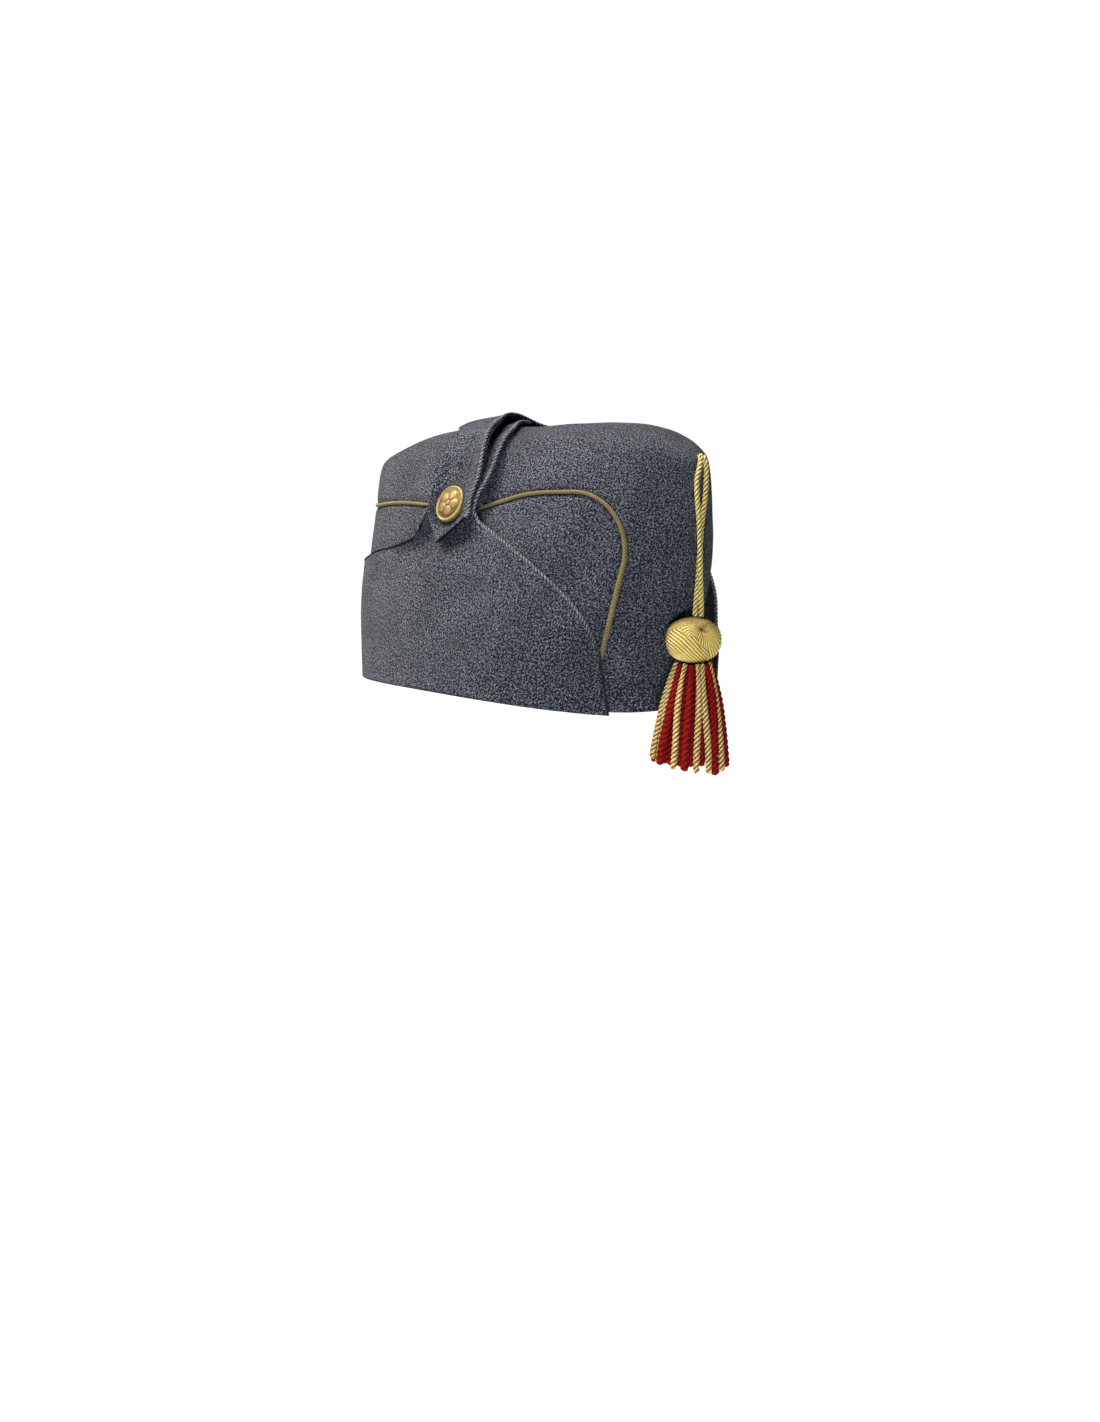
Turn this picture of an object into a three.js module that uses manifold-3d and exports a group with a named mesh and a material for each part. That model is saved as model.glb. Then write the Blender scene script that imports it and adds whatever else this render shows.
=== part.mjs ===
// A tasseled side cap: a hollow wool crown with piped seams, two turned-up ear flaps, a buttoned strap and
// a gold and red tassel. Millimetres, +Z up, front of the cap towards -Y, the wearer's right towards -X.
// The origin is the centre of the head opening, level with the rim at the sides.

import * as THREE from 'three';
import { mergeVertices } from 'three/addons/utils/BufferGeometryUtils.js';
import Module from 'manifold-3d';

const wasm = await Module();
wasm.setup();

// Cloth and the room between layers
const CROWN_CLOTH = 2;
const FLAP_CLOTH = 1.8;
const FLAP_GAP = 1.2;
const RIM_GAP = 0.9;
const LAYER_GAP = 0.6;
const BUTTON_GAP = 0.4;
const SEAM_HALF_WIDTH = 1.5;
const BACK_SEAM_GAP = 0.15;

// Crown sections from below the rim to the ridge. up is the way along the wall, 0 at the rim and 1 at the
// ridge; rise is the share of the ridge height; front and back are the reach from the middle.
const SECTIONS = [
  { up: -0.1, halfWidth: 83.5, rise: -0.115, front: 100.5, back: 101.5 },
  { up: 0, halfWidth: 80, rise: 0, front: 105, back: 105 },
  { up: 0.3, halfWidth: 68.5, rise: 0.352, front: 119, back: 115.5 },
  { up: 0.6, halfWidth: 52.5, rise: 0.684, front: 129, back: 118.5 },
  { up: 0.82, halfWidth: 32.5, rise: 0.94, front: 131.4, back: 121.5 },
  { up: 0.92, halfWidth: 15.5, rise: 0.984, front: 129.8, back: 121.8 },
  { up: 1, halfWidth: 0, rise: 1, front: 125.5, back: 119 },
];
const RIDGE = [
  { forward: -122, height: 112 },
  { forward: -62, height: 130.6 },
  { forward: 3, height: 136.5 },
  { forward: 68, height: 142 },
  { forward: 104, height: 140.2 },
  { forward: 128, height: 132 },
];
const RIM_DIP = 8;

// Soft hollows in the crown wall, the same on both sides
const HOLLOWS = [
  { around: 44, up: 0.46, depth: 3, spanAround: 11, spanUp: 0.17 },
  { around: 118, up: 0.7, depth: 1.5, spanAround: 16, spanUp: 0.12 },
];

// The piped seam: up the front, round a corner and back along the side
const SEAM_FRONT = 32.2;
const SEAM_CORNER = { around: 55, up: 0.46 };
const SEAM_RUN = [
  { around: 55, up: 0.677 },
  { around: 70, up: 0.648 },
  { around: 85, up: 0.624 },
  { around: 105, up: 0.618 },
  { around: 141, up: 0.646 },
  { around: 180, up: 0.69 },
];
const PIPING_DIAMETER = 2.4;
const PIPING_SINK = -0.35;

// Outline of an ear flap, from its front corner to the back seam
const FLAP_RIM_UP = -0.007;
const FLAP_FRONT_AT_RIM = 25;
const FLAP_FRONT_EDGE = [
  { around: 33.3, up: 0.187 },
  { around: 41.2, up: 0.281 },
  { around: 56.8, up: 0.403 },
  { around: 80.6, up: 0.561 },
];
const FLAP_SHOULDER = { around: 102.5, up: 0.538 };
const FLAP_REAR_EDGE = [
  { around: 104.7, up: 0.491 },
  { around: 122.5, up: 0.447 },
  { around: 139, up: 0.435 },
  { around: 180, up: 0.43 },
];
const LEFT_FRONT_LIFT = 6.4;

// Tongues of the flaps: forward places of the two edges, the curl of the front edge off the crown, the tuck
// of the rear edge down to it, and how much further on the rear edge lies. up goes on past 1 over the ridge
// and down the other side.
const TONGUE = [
  { up: 0.594, front: 13.6, rear: -21.2, curl: 0, tuck: 0, skew: 0.021 },
  { up: 0.66, front: 14, rear: -19.5, curl: 0.6, tuck: 0, skew: 0 },
  { up: 0.73, front: 17.5, rear: -18, curl: 1.5, tuck: 0, skew: 0 },
  { up: 0.8, front: 16.5, rear: -18.5, curl: 1.5, tuck: 0, skew: 0 },
  { up: 0.86, front: 12, rear: -22, curl: 1.2, tuck: 0, skew: 0 },
  { up: 0.92, front: 4, rear: -26, curl: 0.8, tuck: 0, skew: 0 },
  { up: 1, front: -7, rear: -32, curl: 0.3, tuck: 0, skew: 0 },
  { up: 1.06, front: -13, rear: -29, curl: 0, tuck: 0, skew: 0 },
];
const STRAP = [
  { up: 0.594, front: 13.6, rear: -21.2, curl: 0, tuck: 0, skew: 0.021 },
  { up: 0.66, front: 14, rear: -20, curl: 0.3, tuck: 0, skew: 0 },
  { up: 0.73, front: 10.5, rear: -22, curl: 0.6, tuck: 0, skew: 0 },
  { up: 0.8, front: 1.5, rear: -28, curl: 0.8, tuck: 0.3, skew: 0 },
  { up: 0.87, front: -8.5, rear: -38, curl: 1, tuck: 1, skew: 0 },
  { up: 0.93, front: -14.5, rear: -47.5, curl: 1.5, tuck: 2.5, skew: 0 },
  { up: 1, front: -15.5, rear: -52, curl: 2.2, tuck: 3, skew: 0 },
  { up: 1.07, front: -8.5, rear: -45, curl: 2.5, tuck: 2.8, skew: 0 },
  { up: 1.13, front: 0.3, rear: -31.5, curl: 2.5, tuck: 1.5, skew: 0 },
  { up: 1.2, front: 7.5, rear: -24, curl: 2.2, tuck: 0.3, skew: 0 },
  { up: 1.27, front: 12, rear: -21, curl: 1.3, tuck: 0, skew: 0 },
  { up: 1.34, front: 15.5, rear: -19, curl: 0.4, tuck: 0, skew: 0 },
  { up: 1.4, front: 15.8, rear: -13.5, curl: 0, tuck: 0, skew: 0.045 },
  { up: 1.437, front: 16.7, rear: -1.5, curl: 0, tuck: 0, skew: 0.085 },
];
const STRAP_RAISE = { from: 0.78, to: 0.9 };

// Button through the tab of the strap
const BUTTON = { around: 90.2, up: 0.61, radius: 10.2, edge: 1.6, dome: 4.2 };

// Tassel: middle line of the two cord legs, with the spread of the legs and the turn of one round the other
const CORD_DIAMETER = 2.9;
const CORD_ROUTE = [
  { forward: 131.8, right: 0.9, height: 129.8, spread: 1.66, turn: -12 },
  { forward: 133.6, right: 2.9, height: 125.7, spread: 2.1, turn: -16 },
  { forward: 134.1, right: 4.6, height: 119, spread: 2.4, turn: -18 },
  { forward: 134.3, right: 4.9, height: 107, spread: 2.1, turn: 0 },
  { forward: 134.2, right: 5.1, height: 95, spread: 1.68, turn: 30 },
  { forward: 133.5, right: 4.9, height: 78, spread: 1.68, turn: 48 },
  { forward: 132.7, right: 4.4, height: 62, spread: 1.68, turn: 75 },
  { forward: 132.1, right: 4.2, height: 51, spread: 1.68, turn: 120 },
  { forward: 131.9, right: 4.1, height: 44.9, spread: 1.68, turn: 140 },
];
const HEAD = { forward: 130.3, right: 5.7, height: 32.7, halfWidth: 14.65, halfDepth: 13.6, halfHeight: 11.7 };
const HEAD_PROFILE = [
  { out: 0, up: -0.97 },
  { out: 0.6, up: -0.97 },
  { out: 0.83, up: -0.66 },
  { out: 0.97, up: -0.3 },
  { out: 1, up: 0.04 },
  { out: 0.95, up: 0.42 },
  { out: 0.8, up: 0.74 },
  { out: 0.58, up: 0.94 },
  { out: 0.38, up: 1 },
  { out: 0.27, up: 0.93 },
  { out: 0.22, up: 0.86 },
  { out: 0, up: 0.86 },
];
const FRINGE_LEAN = { forward: -1, right: 2.2 };
const FRINGE_FRONT_TURN = 43;
const FRINGE = {
  gold: { disc: { radius: 10.4, top: 20.9, thick: 1.8 }, neck: { radius: 8.8, height: 20.2 } },
  red: { disc: { radius: 7.4, top: 16.7, thick: 2 }, neck: { radius: 7, height: 17.4 } },
};
const STRAND_TOP_RADIUS = 1.25;
const STRAND_END_RADIUS = 2.1;
// Strands in order round the tassel: turn from the front right, flare and height of the loose end
const STRANDS = [
  { turn: -82, colour: 'gold', flare: 19.5, end: -29.5 },
  { turn: -54, colour: 'red', flare: 18.5, end: -31.5 },
  { turn: -31, colour: 'gold', flare: 18, end: -33 },
  { turn: -9, colour: 'red', flare: 18, end: -33.5 },
  { turn: 11, colour: 'gold', flare: 18.5, end: -34.5 },
  { turn: 29, colour: 'gold', flare: 18.5, end: -35 },
  { turn: 48, colour: 'red', flare: 18.5, end: -36.5 },
  { turn: 67, colour: 'gold', flare: 18.5, end: -35.5 },
  { turn: 88, colour: 'red', flare: 19.5, end: -34.5 },
  { turn: 109, colour: 'gold', flare: 18.5, end: -33 },
  { turn: 130, colour: 'red', flare: 18, end: -34.5 },
  { turn: 151, colour: 'gold', flare: 17.5, end: -32 },
  { turn: 172, colour: 'red', flare: 17.5, end: -34 },
  { turn: 193, colour: 'gold', flare: 17.5, end: -33 },
  { turn: 214, colour: 'red', flare: 17.5, end: -34.5 },
  { turn: 235, colour: 'gold', flare: 18, end: -32 },
  { turn: 256, colour: 'red', flare: 18.5, end: -32.5 },
];
const CORE_STRANDS = { count: 4, neckRadius: 3, flare: 9, end: -32 };

// Fineness of the faceted solids
const STEPS = { frontPanel: 5, corner: 6, sideRun: 14, wall: 7, top: 7, flapFront: 8, flapRear: 9, tongueWidth: 4 };
const PIPING_SIDES = 6;
const CORD_SIDES = 8;

const CLOTH_FINISH = { color: 0x4b5160, roughness: 0.95, metalness: 0 };
const GOLD_CORD_FINISH = { color: 0xb08d3a, roughness: 0.6, metalness: 0.2 };
const GOLD_METAL_FINISH = { color: 0xc9a24d, roughness: 0.35, metalness: 0.9 };
const RED_CORD_FINISH = { color: 0x9a1220, roughness: 0.85, metalness: 0 };

const { degToRad, lerp, smoothstep } = THREE.MathUtils;

// Places on the crown

function spline(rows, key, columns) {
  const places = rows.map((row) => row[key]);
  const values = rows.flatMap((row) => columns.map((column) => row[column]));
  const curve = new THREE.CubicInterpolant(places, values, columns.length, new Float64Array(columns.length));
  return (place) => {
    const found = curve.evaluate(place);
    return Object.fromEntries(columns.map((column, i) => [column, found[i]]));
  };
}

const farSide = SECTIONS.slice(0, -1)
  .reverse()
  .map((row) => ({ ...row, up: 2 - row.up, halfWidth: -row.halfWidth }));
const sectionAt = spline([...SECTIONS, ...farSide], 'up', ['halfWidth', 'rise', 'front', 'back']);
const ridgeAt = spline(RIDGE, 'forward', ['height']);

function inCap({ forward, right, height }) {
  return new THREE.Vector3(-right, -forward, height);
}

function hollowAt(up, around) {
  const share = HOLLOWS.map((hollow) => {
    const turn = (Math.abs(around) - hollow.around) / hollow.spanAround;
    const climb = (up - hollow.up) / hollow.spanUp;
    return hollow.depth * Math.exp(-turn * turn - climb * climb);
  });
  return share.reduce((sum, depth) => sum + depth, 0);
}

// A point of the crown's outer face; around is in degrees from the front towards the wearer's right
function crownPoint(up, around) {
  const section = sectionAt(up);
  const cos = Math.cos(degToRad(around));
  const sin = Math.sin(degToRad(around));
  const shrink = 1 - hollowAt(up, around) / SECTIONS[1].halfWidth;
  const forward = (cos > 0 ? section.front : section.back) * cos * shrink;
  const right = section.halfWidth * sin * shrink;
  const rim = -RIM_DIP * cos * cos;
  return inCap({ forward, right, height: lerp(rim, ridgeAt(forward).height, section.rise) });
}

function wallNormal(up, around) {
  const climb = crownPoint(up + 0.004, around).sub(crownPoint(up - 0.004, around));
  const turn = crownPoint(up, around + 0.5).sub(crownPoint(up, around - 0.5));
  return climb.cross(turn).normalize();
}

// Outward direction; along the ridge it is the mean of the two sides
function crownNormal(up, around) {
  const ridgeBand = 0.015;
  if (Math.abs(up - 1) >= ridgeBand) {
    return up < 1 ? wallNormal(up, around) : wallNormal(2 - up, -around);
  }
  const side = wallNormal(1 - ridgeBand, around);
  const other = wallNormal(1 - ridgeBand, -around);
  const along = (up - (1 - ridgeBand)) / (2 * ridgeBand);
  return side.lerp(other, along).normalize();
}

function aroundAt(up, forward) {
  const section = sectionAt(up);
  return THREE.MathUtils.radToDeg(Math.acos(forward / (forward > 0 ? section.front : section.back)));
}

function steps(count) {
  return Array.from({ length: count + 1 }, (_, i) => i / count);
}

// Cloth: a pattern of four-sided cells on the crown, given a thickness

class Pattern {
  constructor() {
    this.points = [];
    this.cells = [];
    this.known = new Map();
  }

  place({ up, around, lift, depth }) {
    const at = crownPoint(up, around);
    const key = at.toArray().map((size) => size.toFixed(2)).join(' ');
    if (!this.known.has(key)) {
      this.known.set(key, this.points.length);
      this.points.push({ at, out: crownNormal(up, around), lift, depth });
    }
    return this.known.get(key);
  }

  // Columns run round the cap and each climbs the wall; a mirrored block lies on the wearer's left
  block(columns, mirrored = false) {
    const turned = (spot) => (mirrored ? { ...spot, around: -spot.around } : spot);
    const grid = columns.map((column) => column.map((spot) => this.place(turned(spot))));
    for (let i = 0; i + 1 < grid.length; i += 1) {
      for (let j = 0; j + 1 < grid[i].length; j += 1) {
        const cell = [grid[i][j], grid[i][j + 1], grid[i + 1][j + 1], grid[i + 1][j]];
        this.cells.push(mirrored ? cell.reverse() : cell);
      }
    }
  }

  solid() {
    const count = this.points.length;
    const outer = this.points.map(({ at, out, lift, depth }) => at.clone().addScaledVector(out, lift + depth));
    const inner = this.points.map(({ at, out, lift }) => at.clone().addScaledVector(out, lift));
    const triangles = [];
    const used = new Set();
    for (const cell of this.cells) {
      const [a, b, c, d] = cell;
      triangles.push([a, b, c], [a, c, d]);
      triangles.push([a + count, c + count, b + count], [a + count, d + count, c + count]);
      cell.forEach((from, i) => used.add(`${from} ${cell[(i + 1) % 4]}`));
    }
    for (const cell of this.cells) {
      cell.forEach((from, i) => {
        const to = cell[(i + 1) % 4];
        if (!used.has(`${to} ${from}`)) {
          triangles.push([to, from, from + count], [to, from + count, to + count]);
        }
      });
    }
    const geometry = new THREE.BufferGeometry().setFromPoints([...outer, ...inner]);
    geometry.setIndex(triangles.flat());
    return geometry;
  }
}

// Solids for joining

function asSolid(geometry) {
  const bare = geometry.clone();
  bare.deleteAttribute('normal');
  bare.deleteAttribute('uv');
  const merged = mergeVertices(bare, 1e-3);
  const vertProperties = new Float32Array(merged.attributes.position.array);
  const triVerts = new Uint32Array(merged.index.array);
  return new wasm.Manifold(new wasm.Mesh({ numProp: 3, vertProperties, triVerts }));
}

function asGeometry(solid) {
  const mesh = solid.getMesh();
  const geometry = new THREE.BufferGeometry();
  geometry.setAttribute('position', new THREE.BufferAttribute(mesh.vertProperties, 3));
  geometry.setIndex(new THREE.BufferAttribute(mesh.triVerts, 1));
  return geometry;
}

function mirrored(geometry) {
  const flipped = geometry.clone().scale(-1, 1, 1);
  const index = flipped.index.array;
  for (let i = 0; i < index.length; i += 3) {
    [index[i], index[i + 1]] = [index[i + 1], index[i]];
  }
  return flipped;
}

function roundTube(points, diameter, sides, count) {
  const ring = steps(sides).slice(0, -1).map((share) => share * 2 * Math.PI);
  const section = new THREE.Shape(
    ring.map((turn) => new THREE.Vector2(Math.cos(turn), Math.sin(turn)).multiplyScalar(diameter / 2)),
  );
  const extrudePath = new THREE.CatmullRomCurve3(points);
  return new THREE.ExtrudeGeometry(section, { steps: count, extrudePath });
}

// Crown panels and piping

const seamRunAt = spline(SEAM_RUN, 'around', ['up']);

// Spots along the seam from the front corner to the back, moved off the seam line by a room in millimetres
function seamSpots(room, back) {
  const wallHeight = RIDGE[2].height * 1.1;
  const clearUp = room / wallHeight;
  const clearAround = THREE.MathUtils.radToDeg(room / SECTIONS[2].front) * 1.2;
  const width = SEAM_CORNER.around - SEAM_FRONT - clearAround;
  const height = SEAM_RUN[0].up - SEAM_CORNER.up - clearUp;
  const corner = steps(STEPS.corner).map((share) => ({
    around: SEAM_CORNER.around - width * Math.cos((share * Math.PI) / 2),
    up: SEAM_CORNER.up + height * Math.sin((share * Math.PI) / 2),
  }));
  const run = steps(STEPS.sideRun).slice(1).map((share) => {
    const around = lerp(SEAM_CORNER.around, back, share);
    return { around, up: seamRunAt(around).up - clearUp };
  });
  return [...corner, ...run];
}

// Wall thickness, less where the two sides of the crown come together at its ends
function wallDepth(up, around) {
  const room = Math.abs(crownPoint(up, around).x);
  const slope = Math.abs(crownNormal(up, around).x);
  return room < CROWN_CLOTH && slope > 0.3 ? Math.min(CROWN_CLOTH, (0.8 * room) / slope) : CROWN_CLOTH;
}

function climb(around, from, to, count) {
  return steps(count).map((share) => {
    const up = lerp(from, to, share);
    const depth = wallDepth(up, around);
    return { around, up, lift: -depth, depth };
  });
}

function sidePanel() {
  const pattern = new Pattern();
  const spots = seamSpots(SEAM_HALF_WIDTH, 180 - BACK_SEAM_GAP);
  pattern.block(spots.map(({ around, up }) => climb(around, 0, up, STEPS.wall)));
  return pattern.solid();
}

function topPanel() {
  const pattern = new Pattern();
  const spots = seamSpots(-SEAM_HALF_WIDTH, 180);
  const frontAngles = steps(STEPS.frontPanel).map((share) => share * spots[0].around);
  for (const left of [false, true]) {
    pattern.block(frontAngles.map((around) => climb(around, 0, SEAM_CORNER.up, STEPS.wall)), left);
    pattern.block(frontAngles.map((around) => climb(around, SEAM_CORNER.up, 1, STEPS.top)), left);
    pattern.block(spots.map(({ around, up }) => climb(around, up, 1, STEPS.top)), left);
  }
  return pattern.solid();
}

function pipingCord() {
  const front = steps(6).slice(0, -1).map((share) => ({ around: SEAM_FRONT, up: share * SEAM_CORNER.up }));
  const points = [...front, ...seamSpots(0, 180 - 3 * BACK_SEAM_GAP)].map(({ around, up }) =>
    crownPoint(up, around).addScaledVector(crownNormal(up, around), PIPING_SINK),
  );
  return roundTube(points, PIPING_DIAMETER, PIPING_SIDES, 56);
}

// Ear flaps with their tongues

// A row of spots across a tongue, from its front edge to its rear edge
function tongueRow(row, liftAt) {
  return steps(STEPS.tongueWidth).map((share) => {
    const up = row.up + row.skew * share;
    const around = aroundAt(up, lerp(row.front, row.rear, share));
    const lift = liftAt(up, around) + row.curl * (1 - share) ** 3 - row.tuck * share ** 4;
    return { up, around, lift, depth: FLAP_CLOTH };
  });
}

function flap(tongue, rowCount, liftAt) {
  const frontAt = spline(FLAP_FRONT_EDGE, 'around', ['up']);
  const rearAt = spline(FLAP_REAR_EDGE, 'around', ['up']);
  const tongueAt = spline(tongue, 'up', ['front', 'rear', 'curl', 'tuck', 'skew']);
  const frontStart = FLAP_FRONT_EDGE[0].around;
  const frontEnd = FLAP_FRONT_EDGE.at(-1).around;
  const rearStart = FLAP_REAR_EDGE[0].around;
  const slant = frontStart - FLAP_FRONT_AT_RIM;

  const frontEdge = steps(STEPS.flapFront).map((share) => {
    const around = lerp(frontStart, frontEnd, share);
    return { around, up: frontAt(around).up };
  });
  const rearEdge = steps(STEPS.flapRear).map((share) => {
    const around = lerp(rearStart, 180 - BACK_SEAM_GAP, share);
    return { around, up: rearAt(around).up };
  });
  const base = tongueRow(tongue[0], liftAt);
  const edge = [...frontEdge, ...base, FLAP_SHOULDER, ...rearEdge];

  const pattern = new Pattern();
  pattern.block(edge.map((top) => {
    const lean = slant * Math.max(0, 1 - (top.around - frontStart) / (frontEnd - frontStart)) ** 2;
    return steps(STEPS.wall).map((share) => {
      const up = lerp(FLAP_RIM_UP, top.up, share);
      const around = top.around - lean * (1 - share);
      return { up, around, lift: liftAt(up, around), depth: FLAP_CLOTH };
    });
  }));
  const first = tongue[0].up;
  const last = tongue.at(-1).up;
  const rows = steps(rowCount).map((share) => {
    const up = lerp(first, last, share);
    return tongueRow({ up, ...tongueAt(up) }, liftAt);
  });
  pattern.block(rows[0].map((_, i) => rows.map((row) => row[i])));
  return pattern.solid();
}

// Room between crown and flap: close at the rim, open at the front edge where the piping runs under it
function flapLift(up, around) {
  const nearRim = 1 - smoothstep(up, 0, 0.1);
  const behindPiping = smoothstep(around, 50, 65);
  return FLAP_GAP - (FLAP_GAP - RIM_GAP) * nearRim * behindPiping;
}

function leftFlapLift(up, around) {
  const freeEdge = 1 - smoothstep(around, 45, 85);
  const standOff = LEFT_FRONT_LIFT * freeEdge * lerp(1.15, 1, smoothstep(up, 0, 0.25));
  const overTongue = (FLAP_CLOTH + LAYER_GAP) * smoothstep(up, STRAP_RAISE.from, STRAP_RAISE.to);
  return flapLift(up, around) + standOff + overTongue;
}

// Button

function buttonBody() {
  const { radius, edge, dome } = BUTTON;
  const profile = [
    [0, 0],
    [radius * 0.93, 0],
    [radius, edge * 0.5],
    [radius * 0.97, edge],
    [radius * 0.9, edge * 1.12],
    [radius * 0.86, edge * 0.92],
    [radius * 0.7, lerp(edge, dome, 0.45)],
    [radius * 0.45, lerp(edge, dome, 0.8)],
    [radius * 0.2, lerp(edge, dome, 0.97)],
    [0, dome],
  ];
  return new THREE.LatheGeometry(profile.map(([out, up]) => new THREE.Vector2(out, up)), 28);
}

// Tassel

function cordLeg(side) {
  const points = CORD_ROUTE.map((row) => {
    const turn = degToRad(row.turn);
    return inCap({
      forward: row.forward + side * row.spread * Math.sin(turn),
      right: row.right + side * row.spread * Math.cos(turn),
      height: row.height,
    });
  });
  return roundTube(points, CORD_DIAMETER, CORD_SIDES, 22);
}

function headBody() {
  const profile = HEAD_PROFILE.map(({ out, up }) => new THREE.Vector2(out, up));
  const knot = new THREE.LatheGeometry(profile, 32);
  knot.rotateX(Math.PI / 2);
  return knot.scale(HEAD.halfWidth, HEAD.halfDepth, HEAD.halfHeight);
}

function strandBetween(top, end, topRadius) {
  const axis = new THREE.Vector3().subVectors(top, end);
  const strand = new THREE.CylinderGeometry(topRadius, STRAND_END_RADIUS, axis.length(), 8, 2);
  const middle = new THREE.Vector3().addVectors(top, end).multiplyScalar(0.5);
  const facing = new THREE.Quaternion().setFromUnitVectors(THREE.Object3D.DEFAULT_UP, axis.normalize());
  return strand.applyQuaternion(facing).translate(middle.x, middle.y, middle.z);
}

// A strand from the neck of the tassel to its loose end; turn is in degrees from the front right
function strand(turn, neck, flare, end) {
  const angle = degToRad(FRINGE_FRONT_TURN - turn);
  const place = (radius, height, lean) =>
    inCap({
      forward: HEAD.forward + radius * Math.cos(angle) + lean * FRINGE_LEAN.forward,
      right: HEAD.right + radius * Math.sin(angle) + lean * FRINGE_LEAN.right,
      height,
    });
  return strandBetween(place(neck.radius, neck.height, 0), place(flare, end, 1), STRAND_TOP_RADIUS);
}

function fringe(colour) {
  const { disc, neck } = FRINGE[colour];
  const plate = new THREE.CylinderGeometry(disc.radius, disc.radius, disc.thick, 24);
  plate.rotateX(Math.PI / 2);
  const middle = inCap({ ...HEAD, height: disc.top - disc.thick / 2 });
  plate.translate(middle.x, middle.y, middle.z);
  const outer = STRANDS.filter((row) => row.colour === colour)
    .map((row) => strand(row.turn, neck, row.flare, row.end));
  const core = { radius: CORE_STRANDS.neckRadius, height: neck.height - disc.thick };
  const inner = steps(CORE_STRANDS.count).slice(1)
    .map((share) => strand(share * 360, core, CORE_STRANDS.flare, CORE_STRANDS.end));
  const strands = colour === 'red' ? [...outer, ...inner] : outer;
  return asGeometry(strands.reduce((body, one) => body.add(asSolid(one)), asSolid(plate)));
}

// The whole cap

const cap = new THREE.Group();

function addPiece(name, geometry, finish) {
  const piece = new THREE.Mesh(geometry, new THREE.MeshStandardMaterial(finish));
  piece.name = name;
  cap.add(piece);
  return piece;
}

addPiece('crown_top', topPanel(), CLOTH_FINISH);
addPiece('crown_side_right', sidePanel(), CLOTH_FINISH);
addPiece('crown_side_left', mirrored(sidePanel()), CLOTH_FINISH);

const rightPiping = mergeVertices(pipingCord());
addPiece('piping_right', rightPiping, GOLD_CORD_FINISH);
addPiece('piping_left', mirrored(rightPiping), GOLD_CORD_FINISH);

addPiece('flap_right', flap(TONGUE, 16, flapLift), CLOTH_FINISH);
addPiece('flap_left', mirrored(flap(STRAP, 32, leftFlapLift)), CLOTH_FINISH);

const buttonSeat = FLAP_GAP + 2 * FLAP_CLOTH + LAYER_GAP + BUTTON_GAP;
const buttonOut = crownNormal(BUTTON.up, BUTTON.around);
const button = addPiece('button', buttonBody(), GOLD_METAL_FINISH);
button.position.copy(crownPoint(BUTTON.up, BUTTON.around).addScaledVector(buttonOut, buttonSeat));
button.quaternion.setFromUnitVectors(THREE.Object3D.DEFAULT_UP, buttonOut);

addPiece('tassel_cord_right', cordLeg(1), GOLD_CORD_FINISH);
addPiece('tassel_cord_left', cordLeg(-1), GOLD_CORD_FINISH);
addPiece('tassel_head', headBody(), GOLD_CORD_FINISH).position.copy(inCap(HEAD));
addPiece('tassel_fringe_gold', fringe('gold'), GOLD_CORD_FINISH);
addPiece('tassel_fringe_red', fringe('red'), RED_CORD_FINISH);

export default cap;
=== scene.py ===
"""A tasseled side cap in grey-blue wool: the loose cloth, ropes and finishes over its plain solids."""

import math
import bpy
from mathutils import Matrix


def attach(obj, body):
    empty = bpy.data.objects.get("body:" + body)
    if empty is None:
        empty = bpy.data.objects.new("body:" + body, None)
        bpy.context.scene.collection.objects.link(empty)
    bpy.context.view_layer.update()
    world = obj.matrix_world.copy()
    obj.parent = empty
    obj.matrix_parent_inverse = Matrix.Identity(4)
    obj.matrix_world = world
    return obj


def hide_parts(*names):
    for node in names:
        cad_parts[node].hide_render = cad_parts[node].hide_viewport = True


bl_info = {
    "name": "Tasseled Side Cap",
    "version": (1, 0, 0),
    "blender": (4, 5, 0),
    "location": "View3D > Sidebar > Cap",
    "description": "Wool crown, turned-up flaps, piping, button and a gold and red tassel",
    "category": "Object",
}

import bmesh
import bpy
import numpy as np
from bpy.props import FloatProperty, FloatVectorProperty, PointerProperty
from mathutils import Vector, noise

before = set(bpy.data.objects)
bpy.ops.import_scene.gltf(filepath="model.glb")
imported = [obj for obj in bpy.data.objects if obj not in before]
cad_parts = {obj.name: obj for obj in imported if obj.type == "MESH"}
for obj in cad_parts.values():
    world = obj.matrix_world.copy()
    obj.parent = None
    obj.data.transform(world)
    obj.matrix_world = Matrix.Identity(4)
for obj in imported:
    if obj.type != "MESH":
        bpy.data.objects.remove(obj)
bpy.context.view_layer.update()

MM = 0.001

# Crown sections: up the wall, half width, share of the ridge height, reach to front and back
SECTIONS = [
    (-0.1, 83.5, -0.115, 100.5, 101.5),
    (0, 80, 0, 105, 105),
    (0.3, 68.5, 0.352, 119, 115.5),
    (0.6, 52.5, 0.684, 129, 118.5),
    (0.82, 32.5, 0.94, 131.4, 121.5),
    (0.92, 15.5, 0.984, 129.8, 121.8),
    (1, 0, 1, 125.5, 119),
]
FAR_SIDE = [(2 - up, -wide, *others) for up, wide, *others in reversed(SECTIONS[:-1])]
# Ridge line: forward place, height
RIDGE = [(-122, 112), (-62, 130.6), (3, 136.5), (68, 142), (104, 140.2), (128, 132)]
RIM_DIP = 8
# Soft hollows of the wall: around, up, depth, span around, span up; the last is on the left side only
HOLLOWS = [(44, 0.46, 3, 11, 0.17), (118, 0.7, 1.5, 16, 0.12), (-30, 0.28, 2.4, 12, 0.12)]

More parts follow.
